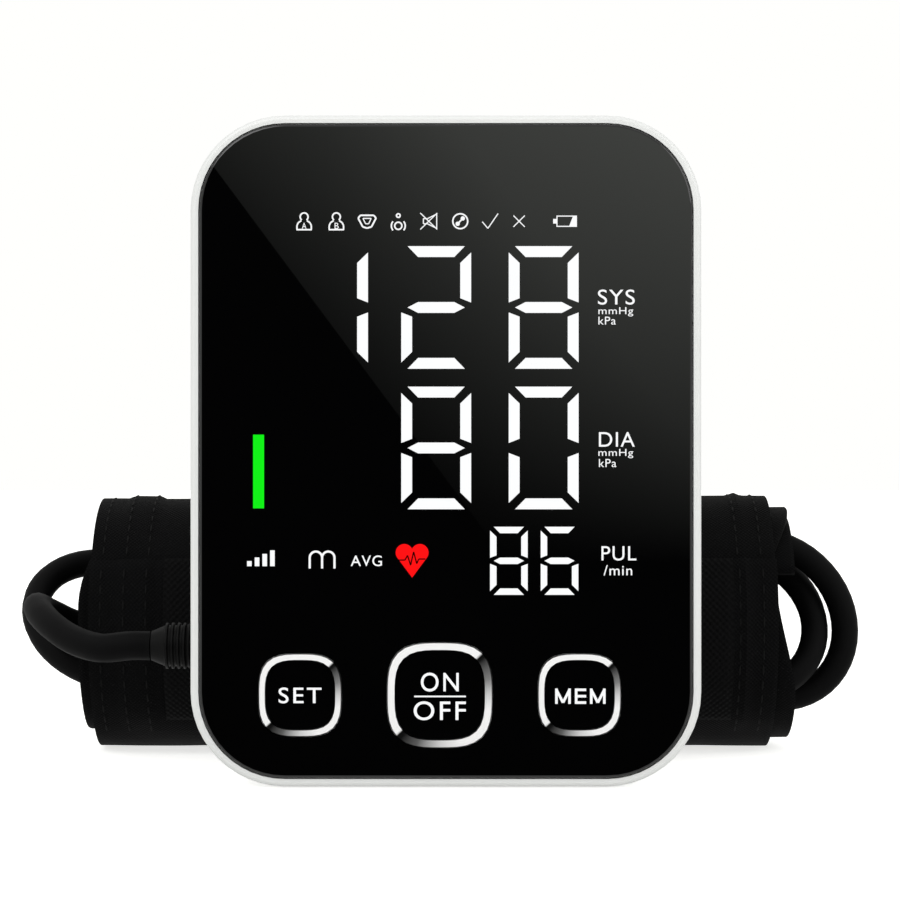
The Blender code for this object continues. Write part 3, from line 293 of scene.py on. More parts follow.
def let_in(name, shape, material, body):
    """The flat faces of a bmesh, made plates that reach back into the face."""
    made = bmesh.ops.extrude_face_region(shape, geom=shape.faces[:])
    back = [corner for corner in made["geom"] if isinstance(corner, bmesh.types.BMVert)]
    bmesh.ops.translate(shape, verts=back, vec=(0, INLAY, 0))
    bmesh.ops.recalc_face_normals(shape, faces=shape.faces)
    return finished(name, shape, material, body)


STROKES = {"0": "abcdef", "1": "bc", "2": "abged", "6": "acdefg", "8": "abcdefg"}


def digit(number, x, z, width, height, stroke):
    """The outlines of a seven-stroke number, with slanted gaps where two strokes meet."""
    side, top, half = width / 2, height / 2, stroke / 2
    inner, outer_cut, inner_cut = side - stroke, 0.58 * stroke, 1.55 * stroke
    outlines = []
    for letter in STROKES[number]:
        if letter in "ad":
            up = 1 if letter == "a" else -1
            points = [(outer_cut - side, top), (side - outer_cut, top)]
            points += [(side - inner_cut, top - stroke), (inner_cut - side, top - stroke)]
            points = [(px, up * pz) for px, pz in points]
        elif letter == "g":
            tip, reach = side - outer_cut, side - inner_cut
            points = [(-tip, 0), (-reach, half), (reach, half), (tip, 0), (reach, -half), (-reach, -half)]
        else:
            out = 1 if letter in "bc" else -1
            up = 1 if letter in "bf" else -1
            points = [(side, top - outer_cut), (side, 0.46 * stroke)]
            points += [(inner, 0.85 * stroke), (inner, top - inner_cut)]
            points = [(out * px, up * pz) for px, pz in points]
        outlines.append([(x + px, z + pz) for px, pz in points])
    return outlines


BIG = {"width": 13.65, "height": 23.95, "stroke": 2.12}
SMALL = {"width": 7.35, "height": 13.3, "stroke": 1.26}
ROWS = {
    "upper_reading": (("1", -22.05), ("2", -1.9), ("8", 19.1), 93.75, BIG),
    "lower_reading": (("8", -1.9), ("0", 19.1), 66.3, BIG),
    "pulse_reading": (("8", 12.3), ("6", 22.2), 44.25, SMALL),
}
for row, (*numbers, height, form) in ROWS.items():
    strokes = [outline for number, x in numbers for outline in digit(number, x, height, **form)]
    inlay(row, strokes, white_light)


def lettering(name, words, left, right, low, high, material, body="monitor", weight=0.0, spacing=1.1):
    """A word in the plain sans letters, fitted to a box given in millimetres on the face."""
    text = bpy.data.curves.new(name, "FONT")
    text.body = words
    text.offset = weight
    text.space_character = spacing
    text.resolution_u = 6
    holder = bpy.data.objects.new(name, text)
    bpy.context.scene.collection.objects.link(holder)
    bpy.context.view_layer.update()
    flat = bpy.data.meshes.new_from_object(holder.evaluated_get(bpy.context.evaluated_depsgraph_get()))
    bpy.data.objects.remove(holder, do_unlink=True)
    shape = bmesh.new()
    shape.from_mesh(flat)
    bmesh.ops.remove_doubles(shape, verts=shape.verts, dist=1e-5)
    across = [corner.co.x for corner in shape.verts]
    up = [corner.co.y for corner in shape.verts]
    wide = (right - left) * MM / (max(across) - min(across))
    tall = (high - low) * MM / (max(up) - min(up))
    for corner in shape.verts:
        x = left * MM + (corner.co.x - min(across)) * wide
        corner.co = (x, lens_front - PROUD, low * MM + (corner.co.y - min(up)) * tall)
    return let_in(name, shape, material, body)


LEGENDS = {
    "upper_name": ("SYS", 29.7, 36.9, 94.3, 97.25, 0.0),
    "upper_unit": ("mmHg", 29.8, 36.6, 92.0, 93.8, 0.0),
    "upper_second_unit": ("kPa", 29.8, 33.2, 90.4, 91.95, 0.0),
    "lower_name": ("DIA", 29.9, 36.9, 66.55, 69.4, 0.0),
    "lower_unit": ("mmHg", 29.8, 36.6, 64.3, 66.1, 0.0),
    "lower_second_unit": ("kPa", 29.9, 33.3, 62.55, 64.15, 0.0),
    "pulse_name": ("PUL", 30.4, 37.2, 44.3, 47.1, 0.0),
    "pulse_unit": ("/min", 30.8, 36.4, 41.4, 43.4, 0.003),
    "average_mark": ("AVG", -18.6, -12.5, 43.2, 45.3, 0.003),
    "first_user_letter": ("A", -28.15, -27.25, 109.1, 110.3, 0.0),
    "second_user_letter": ("B", -21.75, -20.95, 109.1, 110.3, 0.0),
}
for name, (words, left, right, low, high, weight) in LEGENDS.items():
    lettering(name, words, left, right, low, high, white_light, weight=weight)


def bar(x0, z0, x1, z1, width):
    """The outline of a straight stroke from one point to another."""
    run = Vector((x1 - x0, z1 - z0)).normalized() * width / 2
    return [
        (x0 - run.y, z0 + run.x),
        (x0 + run.y, z0 - run.x),
        (x1 + run.y, z1 - run.x),
        (x1 - run.y, z1 + run.x),
    ]


def line(points, width):
    """The outlines of a line through several points, with a stroke for each stretch."""
    return [bar(*a, *b, width) for a, b in zip(points, points[1:])]


def disc(x, z, radius, start=0, end=360, inner=0.0, steps=20):
    """A disc, or a band of a ring, between two angles."""
    angles = [math.radians(start + (end - start) * step / steps) for step in range(steps + 1)]
    outside = [(x + radius * math.cos(angle), z + radius * math.sin(angle)) for angle in angles]
    if not inner:
        return outside[:-1] if end - start == 360 else outside
    return outside + [(x + inner * math.cos(a), z + inner * math.sin(a)) for a in reversed(angles)]


MARK_Z = 110.6
THIN = 0.2
BOLD = 0.29
HEAD_RADIUS = 0.92
FOOT_LINE = MARK_Z - 1.65


def person(x):
    """The outline of a head over a bell-shaped body."""
    shoulder = [(1.4, -1.65), (1.4, -0.85), (1.15, -0.3), (0.55, 0.12)]
    right = line([(x + px, MARK_Z + pz) for px, pz in shoulder], BOLD)
    left = line([(x - px, MARK_Z + pz) for px, pz in shoulder], BOLD)
    head = disc(x, MARK_Z + 0.85, HEAD_RADIUS, -52, 232, HEAD_RADIUS - BOLD)
    return [head, bar(x - 1.5, FOOT_LINE, x + 1.5, FOOT_LINE, BOLD), *left, *right]


def loudspeaker(x):
    """The outline of a loudspeaker with a cross over its mouth."""
    cone = [(-1.1, -0.5), (-0.3, -0.5), (1.5, -1.4), (1.5, 1.4), (-0.3, 0.5), (-1.1, 0.5), (-1.1, -0.5)]
    around = line([(x + px, MARK_Z + pz) for px, pz in cone], THIN)
    return around + [
        bar(x - 1.7, MARK_Z - 1.6, x + 1.6, MARK_Z + 1.6, THIN),
        bar(x - 1.7, MARK_Z + 1.6, x + 1.6, MARK_Z - 1.6, THIN),
    ]


def frame_of(x0, z0, x1, z1, width):
    """The four bars round a box."""
    half = width / 2
    return [
        bar(x0, z0 + half, x1, z0 + half, width),
        bar(x0, z1 - half, x1, z1 - half, width),
        bar(x0 + half, z0 + width, x0 + half, z1 - width, width),
        bar(x1 - half, z0 + width, x1 - half, z1 - width, width),
    ]


CUFF_MARK_X = -15.4
CUFF_OUTLINE = (
    (-1.3, 1.15),
    (1.3, 1.15),
    (1.75, 0.6),
    (0.85, -1.1),
    (0, -1.35),
    (-0.85, -1.1),
    (-1.75, 0.6),
)
ARM_OUTLINE = ((-0.8, 0.55), (0.8, 0.55), (0.3, -0.5), (-0.3, -0.5))
CUFF_SHAPE = [(CUFF_MARK_X + x, MARK_Z + z) for x, z in CUFF_OUTLINE]
ARM_SHAPE = [(CUFF_MARK_X + x, MARK_Z + z) for x, z in ARM_OUTLINE]
MOVER_X, MOVER_LOW, MOVER_HIGH = -9.3, MARK_Z - 0.9, MARK_Z + 1.1
LINK_FIRST = (2.3, MARK_Z - 0.5)
LINK_SECOND = (3.3, MARK_Z + 0.55)
LINK_DOT = 0.42
ARCH, ARCH_INNER, ARCH_Z, ARCH_FOOT = 1.42, 1.0, 44.85, 42.75
LEVEL_X, LEVEL_STEP, LEVEL_FOOT, LEVEL_BAR = -38.4, 1.5, 43.2, 0.9
MARKS = {
    "first_user_mark": person(-27.7),
    "second_user_mark": person(-21.4),
    "cuff_mark": line(CUFF_SHAPE + CUFF_SHAPE[:1], 1.6 * THIN) + line(ARM_SHAPE + ARM_SHAPE[:1], THIN),
    "movement_mark": [
        disc(MOVER_X, MOVER_HIGH, 0.5, 0, 360, 0.5 - BOLD),
        disc(MOVER_X, MOVER_LOW, 0.85, 0, 360, 0.85 - BOLD),
        disc(MOVER_X, MOVER_LOW, 1.5, -40, 40, 1.5 - BOLD),
        disc(MOVER_X, MOVER_LOW, 1.5, 140, 220, 1.5 - BOLD),
    ],
    "quiet_mark": loudspeaker(-3.3),
    "link_mark": [
        disc(2.8, MARK_Z, 1.6, 0, 360, 1.6 - BOLD, 28),
        disc(*LINK_FIRST, LINK_DOT),
        disc(*LINK_SECOND, LINK_DOT),
        bar(*LINK_FIRST, *LINK_SECOND, BOLD),
    ],
    "done_mark": line([(7.1, MARK_Z - 0.1), (8.2, MARK_Z - 1.4), (10.2, MARK_Z + 1.5)], THIN),
    "failed_mark": [
        bar(13.2, MARK_Z - 1.1, 15.4, MARK_Z + 1.1, THIN),
        bar(13.2, MARK_Z + 1.1, 15.4, MARK_Z - 1.1, THIN),
    ],
    "cell_mark": frame_of(21.6, MARK_Z - 1.1, 25.6, MARK_Z + 1.1, THIN)
    + [bar(20.95, MARK_Z, 21.6, MARK_Z, 0.9)]
    + [[(24.1, MARK_Z - 0.9), (25.4, MARK_Z - 0.9), (25.4, MARK_Z + 0.9), (24.8, MARK_Z + 0.9)]],
    "memory_mark": [
        *(disc(x, ARCH_Z, ARCH, 0, 180, ARCH_INNER) for x in (-25.4, -22.98)),
        *(bar(x, ARCH_FOOT, x, ARCH_Z, ARCH - ARCH_INNER) for x in (-26.61, -24.19, -21.77)),
    ],
    "level_mark": [
        bar(x, LEVEL_FOOT, x, LEVEL_FOOT + 1 + 0.7 * n, LEVEL_BAR)
        for n, x in enumerate(LEVEL_X + LEVEL_STEP * number for number in range(4))
    ],
}
for name, outlines in MARKS.items():
    inlay(name, outlines, white_light)
GREEN_BAR = bar(-36.6, 54.5, -36.6, 68.9, 2.15)
inlay("level_bar", [GREEN_BAR], green_light)

HEART_X, HEART_TOP, HEART_TIP = -6.6, 45.85, 40.95
LOBE, LOBE_SIDE = 1.7, 1.52
notch = math.degrees(math.acos(LOBE_SIDE / LOBE))
heart = disc(HEART_X - LOBE_SIDE, HEART_TOP, LOBE, notch, 212, steps=16)
heart += [(HEART_X, HEART_TIP)]
heart += disc(HEART_X + LOBE_SIDE, HEART_TOP, LOBE, -32, 180 - notch, steps=16)[:-1]
inlay("pulse_mark", [heart], red_light)
BEAT_WIDTH = 0.24
BEAT = (
    (-9.2, 44.4),
    (-8.0, 44.4),
    (-7.5, 45.3),
    (-6.9, 43.4),
    (-6.3, 46.0),
    (-5.7, 43.7),
    (-5.3, 44.6),
    (-4.0, 44.6),
)
inlay("pulse_beat", line(BEAT, BEAT_WIDTH), gloss_black, front=lens_front - PROUD)

# Each key is a black acrylic cap that presses on a switch, in a plated ring. The ring's light and shade are
# painted into its colour: a painted highlight on its upper left runs into painted shade on the lower right,
# with a break at two corners.
ring_foil, start = new_finish("ring_foil", {"Roughness": 0.3, "Specular IOR Level": 0.1})
across = start.node("Attribute", {"attribute_name": "across"}, {}, "Fac")
up = start.node("Attribute", {"attribute_name": "up"}, {}, "Fac")
around = 0.5 + start.math("ARCTAN2", up, across) * (0.5 / math.pi)
# Stops round the ring, from painted highlight (BRIGHT) to painted shade; this stands in for the plated
# ring's reflection.
BRIGHT, BREAK = 0.90, 0.004
ring_painted_light_stops = (
    (0.0, BRIGHT),
    (0.116, BRIGHT),
    (0.121, BREAK),
    (0.133, BREAK),
    (0.18, 0.10),
    (0.25, 0.60),
    (0.32, BRIGHT),
    (0.45, BRIGHT),
    (0.50, 0.60),
    (0.55, 0.20),
    (0.605, 0.03),
    (0.612, BREAK),
    (0.622, BREAK),
    (0.627, BRIGHT),
    (1.0, BRIGHT),
)
shade = start.node("ValToRGB", {"stops": ring_painted_light_stops}, {"Fac": around}, 0)
feed(ring_foil, {"Base Color": shade})
KEY_WORDS = {
    "set": (("SET", -32.7, -24.3, 16.4, 19.5),),
    "power": (("ON", -4.9, 2.5, 18.7, 22.4), ("OFF", -6.3, 3.9, 13.1, 16.8)),
    "memory": (),
}
for key, words in KEY_WORDS.items():
    dress(f"key_cap_{key}", gloss_black, flat=True)
    ring = dress(f"key_ring_{key}", ring_foil, flat=True)
    low, high = (Vector(corner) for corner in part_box(f"key_ring_{key}"))
    middle = (low + high) / 2
    for name, part in (("across", 0), ("up", 2)):
        side = ring.data.attributes.new(name, "FLOAT", "POINT")
        for corner, value in zip(ring.data.vertices, side.data):
            value.value = (corner.co[part] - middle[part]) / MM
    # The key words are white print, drawn in the display's glowing white, so their glow is painted light.
    for word, left, right, low_z, high_z in words:
        body = body_of[f"key_cap_{key}"]
        name = f"key_word_{word.lower()}"
        lettering(name, word, left, right, low_z, high_z, white_light, body, 0.004, 1.18)
# MEM and the line between ON and OFF are white print too, glowing with the same painted light.
WORD_STROKE = 0.5
WORD_LOW, WORD_HIGH = 16.3, 19.3
E_STEM, E_LEFT, E_RIGHT = 25.45, 25.7, 27.4
M_SIDES = ((21.6, 24.15), (28.4, 30.95))
low = WORD_LOW + WORD_STROKE / 2
high = WORD_HIGH - WORD_STROKE / 2
strokes = [bar(E_STEM, WORD_LOW, E_STEM, WORD_HIGH, WORD_STROKE)]
strokes += [bar(E_LEFT, z, E_RIGHT, z, WORD_STROKE) for z in (low, (low + high) / 2, high)]
for left, right in M_SIDES:
    strokes += [bar(x, WORD_LOW, x, WORD_HIGH, WORD_STROKE) for x in (left, right)]
    strokes += [bar(x, high, (left + right) / 2, low, WORD_STROKE) for x in (left, right)]
inlay("key_word_mem", strokes, white_light, body_of["key_cap_memory"])
KEY_LINE = bar(-6.2, 17.75, 3.9, 17.75, 0.3)
inlay("key_word_line", [KEY_LINE], white_light, body_of["key_cap_power"])

# The cuff is a nylon sleeve round a bladder, sewn flat and rolled up with its outer face inwards.
# It's wound as one sheet from the bore outwards, and the turns have slipped along the roll.
ROLL_Y = 0.0555
ROLL_RADIUS = 0.028
CUFF_WIDTH = 0.1475
CUFF_TURNS = 3
CUFF_THICKNESS = 0.0016
CUFF_PITCH = 0.00185
TAIL = math.radians(300)
SLIPS = (
    (-780, 0.0018),
    (-620, 0.0018),
    (-520, -0.0054),
    (-440, -0.0054),
    (-370, 0.0018),
    (-130, 0.0018),
    (-70, -0.0028),
    (300, -0.0028),
)
PANEL_EDGE = 0.0634
STRIP_EDGE = -0.0698
HEM_SOFT = 0.0012
STRIP_HEIGHT = 0.00055
RIDGE_HEIGHT = 0.0006
RIDGE_WIDTH = 0.0009
RIDGE_INSET = 0.0006
FULL_HEIGHT = 0.0007
FULL_FROM = 0.045
FULL_OVER = 0.05
WAVE_HEIGHT = 0.00006


def eased(share):
    return share * share * (3 - 2 * share)


def step_up(value, edge, soft):
    """0 below an edge and 1 above it, eased over a soft width."""
    return eased(min(1.0, max(0.0, (value - edge) / soft + 0.5)))


def turn_shift(angle):
    """How far the roll has slipped along X at that angle, eased from one slip to the next."""
    shift = SLIPS[0][1]
    for (first, before), (last, after) in zip(SLIPS, SLIPS[1:]):
        share = (math.degrees(angle) - first) / (last - first)
        shift += (after - before) * eased(min(1, max(0, share)))
    return shift


def relief(angle, x):
    """How far the outermost turn stands out: a sewn strip, a ridge, and a fuller right end."""
    outermost = step_up(angle, TAIL - 2 * math.pi + 0.5, 0.5)
    clear = step_up(math.cos(angle), -0.75, 0.2)
    strip = step_up(x, STRIP_EDGE, HEM_SOFT) * (1 - step_up(x, -PANEL_EDGE, HEM_SOFT))
    ridge = math.exp(-(((x - PANEL_EDGE - RIDGE_INSET) / RIDGE_WIDTH) ** 2))
    fuller = step_up(x, FULL_FROM, FULL_OVER)
    return outermost * clear * (STRIP_HEIGHT * strip + RIDGE_HEIGHT * ridge + FULL_HEIGHT * fuller)


def on_roll(angle, x, out):
    """A point of the roll: its angle from the top over the back, and its height over the cuff's face."""
    radius = ROLL_RADIUS + CUFF_PITCH * (angle - math.pi) / (2 * math.pi) + out
    return Vector((x, ROLL_Y + radius * math.sin(angle), ROLL_RADIUS + radius * math.cos(angle)))


def rolled(name, columns, rows, first, width, middle, out, thickness, material, raised):
    """A grid wound on the roll from one angle to the tail, with its flat sizes kept as its UV map."""
    shape = bmesh.new()
    bmesh.ops.create_grid(shape, x_segments=columns, y_segments=rows, size=0.5)
    flat = shape.loops.layers.uv.new("cloth")
    length = (TAIL - first) * ROLL_RADIUS
    for face in shape.faces:
        for loop in face.loops:
            loop[flat].uv = (loop.vert.co.x * width, (loop.vert.co.y + 0.5) * length)
    for corner in shape.verts:
        angle = first + (TAIL - first) * (corner.co.y + 0.5)
        shift = turn_shift(angle) if middle is None else middle
        x = shift + corner.co.x * width
        wave = WAVE_HEIGHT * math.sin(9 * angle + 240 * x) if raised else 0
        lift = relief(angle, x) if raised else 0
        corner.co = on_roll(angle, x, out + lift + wave)
    bmesh.ops.recalc_face_normals(shape, faces=shape.faces)
    piece = finished(name, shape, material, "cuff")
    wall = piece.modifiers.new("wall", "SOLIDIFY")
    wall.thickness = thickness
    wall.offset = 0
    return piece


def black_cloth(name, dark, light, pitch, depth, roughness, sheen):
    """A plain weave: two crossed waves of threads over the cloth's own UV map."""
    constants = {"Sheen Weight": sheen, "Sheen Roughness": 0.45, "Specular IOR Level": 0.04}
    material, start = new_finish(name, constants)
    flat = start.node("UVMap", {"uv_map": "cloth"}, {})
    across = start.node("SeparateXYZ", {}, {"Vector": flat}, "X")
    along = start.node("SeparateXYZ", {}, {"Vector": flat}, "Y")
    warp = start.node("Math", {"operation": "SINE"}, {0: across * (2 * math.pi / pitch)})
    weft = start.node("Math", {"operation": "SINE"}, {0: along * (2 * math.pi / pitch)})
    thread = 0.5 + 0.5 * (warp * weft)
    place = start.node("TexCoord", {}, {}, "Object")
    cloud = start.node("TexNoise", {}, {"Vector": place, "Scale": 90, "Detail": 4}, 0)
    shade = start.math("MULTIPLY", 0.4 + 0.6 * thread, 0.6 + 0.4 * cloud)
    tint = start.node("Mix", {"data_type": "RGBA"}, {"Factor": shade, 6: (*dark, 1), 7: (*light, 1)}, 2)
    bump = start.node("Bump", {}, {"Strength": 0.8, "Distance": depth, "Height": thread}, "Normal")
    return feed(material, {"Base Color": tint, "Roughness": roughness - 0.1 * thread, "Normal": bump})


NYLON_DARK = (0.0004, 0.0004, 0.0004)
NYLON_LIGHT = (0.0050, 0.0050, 0.0053)
nylon = black_cloth(
    "nylon", NYLON_DARK, NYLON_LIGHT, pitch=0.0009, depth=0.00014, roughness=0.85, sheen=0.004
)
cuff = rolled(
    "cuff_cloth",
    columns=150,
    rows=215,
    first=TAIL - 2 * math.pi * CUFF_TURNS,
    width=CUFF_WIDTH,
    middle=None,
    out=-CUFF_THICKNESS / 2,
    thickness=CUFF_THICKNESS,
    material=nylon,
    raised=True,
)
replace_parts(cuff, "cuff_outer_fabric", "cuff_bladder", "cuff_lining")

# The hook patch is sewn on the cuff's tail, over the outermost turn, and the seams of the cuff's
# two edges show as rows of black stitches.
HOOK_DARK = (0.0008, 0.0008, 0.0008)
HOOK_LIGHT = (0.004, 0.004, 0.0042)
hooks = black_cloth("hooks", HOOK_DARK, HOOK_LIGHT, pitch=0.0014, depth=0.0003, roughness=0.75, sheen=0.006)
patch = rolled(
    "hook_patch",
    columns=61,
    rows=30,
    first=TAIL - math.radians(75),
    width=0.122,
    middle=0.0005,
    out=0.0005,
    thickness=0.0005,
    material=hooks,
    raised=False,
)
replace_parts(patch, "cuff_hook_patch")
thread_black = moulded_plastic("thread_black", (0.004, 0.004, 0.004), 0.7, specular=0.1)
STITCH_STEP = 0.0034
STITCH_LENGTH = 0.0026
STITCH_RADIUS = 0.00022
STITCH_LOWEST = 0.004
SEAM_X = (-0.0740, -0.0690, -0.0642, 0.0628, 0.0678)
shape = bmesh.new()
count = round(2 * math.pi * ROLL_RADIUS / STITCH_STEP)
for seam in SEAM_X:
    for number in range(1, count):
        angle = TAIL - 2 * math.pi * number / count
        centre = on_roll(angle, seam, relief(angle, seam))
        if centre.z < STITCH_LOWEST:
            continue
        made = bmesh.ops.create_uvsphere(shape, u_segments=6, v_segments=4, radius=STITCH_RADIUS)["verts"]
        bmesh.ops.scale(shape, verts=made, vec=(1, STITCH_LENGTH / 2 / STITCH_RADIUS, 1))
        turn = Vector((0, math.cos(angle), -math.sin(angle))).to_track_quat("Y", "Z").to_matrix()
        bmesh.ops.rotate(shape, verts=made, matrix=turn)
        bmesh.ops.translate(shape, verts=made, vec=centre)
stitches = finished("cuff_stitches", shape, thread_black, "cuff")
dress("cuff_port", black_moulding)

# The air hose is black rubber, 6 mm thick. It leaves the port inside the roll, folds through the
# bore three times, and comes round on the left to its plug in the monitor's wall.
HOSE_RADIUS = 0.003
FOLD_RADIUS = 0.0173
WAIST = 0.011
FOLDS_X = (0.0718, -0.0745, 0.0650)
LIFTS = (-0.0025, 0.0035, -0.0015)
TILTS = tuple(math.radians(angle) for angle in (2, 47, 30, 84))
PORT_END = 0.049
HANK_END_X = -0.0600
HANK_END_DROP = 0.0015
BEND_STEPS = 24
LEAD_STEPS = 6
LEAD_POINTS = (
    (-0.0603, 0.0555, 0.0265),
    (-0.0640, 0.0555, 0.0265),
    (-0.0705, 0.0541, 0.0267),
    (-0.0766, 0.0507, 0.0271),
    (-0.0818, 0.0456, 0.0278),
    (-0.0854, 0.0392, 0.0301),
    (-0.0871, 0.0322, 0.0318),
    (-0.0870, 0.0250, 0.0325),
    (-0.0851, 0.0180, 0.0312),
    (-0.0814, 0.0115, 0.0289),
    (-0.0764, 0.0060, 0.0266),
    (-0.0706, 0.0018, 0.0254),
    (-0.0645, 0.0000, 0.0260),
    (-0.0603, 0.0000, 0.0260),
)


def hank_point(x, reach, tilt):
    """A point of the hank, that far above the roll's axis and leaned back by a tilt."""
    return Vector((x, ROLL_Y + reach * math.sin(tilt), ROLL_RADIUS + reach * math.cos(tilt)))


route = [hank_point(PORT_END + 0.0003, FOLD_RADIUS, TILTS[0])]
side = 1
for number, fold_x in enumerate(FOLDS_X):
    outward = 1 if number % 2 == 0 else -1
    for step in range(BEND_STEPS + 1):
        turn = math.pi * step / BEND_STEPS
        swing = math.sin(turn)
        reach = side * FOLD_RADIUS * math.cos(turn)
        point = hank_point(fold_x + outward * FOLD_RADIUS * swing, reach, TILTS[number])
        route.append(point + Vector((0, 0, LIFTS[number] * swing)))
    side = -side
    last = number == len(FOLDS_X) - 1
    end_x = HANK_END_X + 2 * HOSE_RADIUS if last else FOLDS_X[number + 1]
    for step in range(1, BEND_STEPS + last):
        share = step / BEND_STEPS
        drawn = WAIST + (FOLD_RADIUS - WAIST) * (0.5 + 0.5 * math.cos(2 * math.pi * share))
        if last:
            drawn = FOLD_RADIUS + (HANK_END_DROP - FOLD_RADIUS) * eased(share)
        lean = TILTS[number] + (TILTS[number + 1] - TILTS[number]) * eased(share)
        if last and step == BEND_STEPS:
            lean = 0
        route.append(hank_point(fold_x + (end_x - fold_x) * share, side * drawn, lean))
lead = [Vector(point) for point in LEAD_POINTS]
lead = [2 * lead[0] - lead[1], *lead, 2 * lead[-1] - lead[-2]]
for before, start_point, end_point, after in zip(lead, lead[1:], lead[2:], lead[3:]):
    for step in range(LEAD_STEPS):
        t = step / LEAD_STEPS
        bend = (end_point - before) * t + (2 * before - 5 * start_point + 4 * end_point - after) * t * t
        bend += (3 * start_point - before - 3 * end_point + after) * t * t * t
        route.append(start_point + bend / 2)
route.append(lead[-2])

rubber, start = new_finish("hose_rubber", {"Specular IOR Level": 0.06})
place = start.node("TexCoord", {}, {}, "Object")
bloom = start.node("TexNoise", {}, {"Vector": place, "Scale": 210, "Detail": 4}, 0)
dust = {"Factor": bloom, 6: (0.0008, 0.0008, 0.0009, 1), 7: (0.003, 0.003, 0.0032, 1)}
tint = start.node("Mix", {"data_type": "RGBA"}, dust, 2)
skin = start.node("Bump", {}, {"Strength": 0.3, "Distance": 0.00002, "Height": bloom}, "Normal")
feed(rubber, {"Base Color": tint, "Roughness": 0.55 + 0.2 * bloom, "Normal": skin})
line_curve = bpy.data.curves.new("air_hose", "CURVE")
line_curve.dimensions = "3D"
line_curve.bevel_depth = HOSE_RADIUS
line_curve.bevel_resolution = 5
line_curve.use_fill_caps = True
strand = line_curve.splines.new("POLY")
strand.points.add(len(route) - 1)
for point, spot in zip(strand.points, route):
    point.co = (*spot, 1)
strand.use_smooth = True
line_curve.materials.append(rubber)
hose = bpy.data.objects.new("air_hose", line_curve)
bpy.context.scene.collection.objects.link(hose)
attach(hose, "cuff")
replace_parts(hose, "hose_hank", "hose_lead")
hose_length = sum((b - a).length for a, b in zip(route, route[1:]))

# The plug is a turned black plastic fitting on the hose's end, with ribs to hold it by. It is
# pushed into the air socket in the monitor's left wall, and the cuff rides with it.
plug_low, plug_high = (Vector(corner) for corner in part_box("hose_plug"))
PLUG_GRIP = 0.0084
PLUG_NOSE_RADIUS = 0.0024
NOSE_CHAMFER = 0.0006
CONE_LENGTH = 0.0022
CONE_DROP = 0.0008
RIBS = 4
RIB_START = 0.0028
RIB_STEP = 0.0012
RIB_DEPTH = 0.0005
RIB_SLOPE = 0.0002
RIB_CREST = 0.0004
GRIP_EDGE = 0.0004
GRIP_SHOULDER = 0.0005
grip_radius = (plug_high.z - plug_low.z) / 2
grip_end = plug_low.x + PLUG_GRIP
groove = grip_radius - RIB_DEPTH
profile = [(plug_low.x, 0), (plug_low.x, HOSE_RADIUS)]
profile += [(plug_low.x + CONE_LENGTH, grip_radius - CONE_DROP)]
for number in range(RIBS):
    crest = plug_low.x + RIB_START + RIB_STEP * number + RIB_SLOPE
    profile += [(crest - RIB_SLOPE, groove), (crest, grip_radius), (crest + RIB_CREST, grip_radius)]
    profile += [(crest + RIB_CREST + RIB_SLOPE, groove)]
profile += [(grip_end - GRIP_SHOULDER, grip_radius), (grip_end, grip_radius - GRIP_EDGE)]
profile += [(grip_end, PLUG_NOSE_RADIUS), (plug_high.x - NOSE_CHAMFER, PLUG_NOSE_RADIUS)]
profile += [(plug_high.x, PLUG_NOSE_RADIUS - NOSE_CHAMFER), (plug_high.x, 0)]
axis_y = (plug_low.y + plug_high.y) / 2
axis_z = (plug_low.z + plug_high.z) / 2
shape = bmesh.new()
corners = [shape.verts.new((x, axis_y, axis_z + radius)) for x, radius in profile]
edges = [shape.edges.new(pair) for pair in zip(corners, corners[1:])]
centre = (0, axis_y, axis_z)
bmesh.ops.spin(
    shape, geom=corners + edges, cent=centre, axis=(1, 0, 0), angle=2 * math.pi, steps=40, use_merge=True
)
bmesh.ops.remove_doubles(shape, verts=shape.verts, dist=1e-6)
bmesh.ops.recalc_face_normals(shape, faces=shape.faces)
plug_black = moulded_plastic("plug_black", (0.003, 0.003, 0.003), 0.55, specular=0.08)
plug = finished("hose_plug_turned", shape, plug_black, "cuff")
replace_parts(plug, "hose_plug")
hank_point(PORT_END, FOLD_RADIUS, TILTS[0])

# The studio: a pale floor under a white surround, two soft lamps and a low fill, and a board behind
# the camera that the polished lens mirrors as a slanting sheet of light, dying away downwards.
shape = bmesh.new()
bmesh.ops.create_grid(shape, x_segments=1, y_segments=1, size=4)
floor_mesh = bpy.data.meshes.new("floor")
shape.to_mesh(floor_mesh)
shape.free()
FLOOR_DROP = 0.0003
floor_mesh.transform(Matrix.Translation((0, 0, -FLOOR_DROP)))
floor = bpy.data.objects.new("floor", floor_mesh)
bpy.context.scene.collection.objects.link(floor)
FLOOR_WHITE = (0.82, 0.82, 0.81, 1)
FLOOR_LIFT = 0.72
floor_light = {"Base Color": FLOOR_WHITE, "Roughness": 0.9, "Emission Strength": 1}
pale, start = new_finish("pale_floor", floor_light)
lift = FLOOR_LIFT * start.node("LightPath", {}, {}, "Is Camera Ray")
feed(pale, {"Emission Color": start.node("CombineColor", {}, {0: lift, 1: lift, 2: 0.985 * lift})})
floor.visible_glossy = False
floor_mesh.materials.append(pale)
floor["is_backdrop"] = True

BOARD_Y = -0.62
BOARD_SIZE = 0.30
BOARD_MIDDLE = 0.066
BOARD_LEVEL = 1.4
shape = bmesh.new()
bmesh.ops.create_grid(shape, x_segments=1, y_segments=1, size=BOARD_SIZE)
for corner in shape.verts:
    corner.co = (corner.co.x, BOARD_Y, corner.co.y + BOARD_MIDDLE)
board_mesh = bpy.data.meshes.new("light_board")
shape.to_mesh(board_mesh)
shape.free()
board = bpy.data.objects.new("light_board", board_mesh)
bpy.context.scene.collection.objects.link(board)
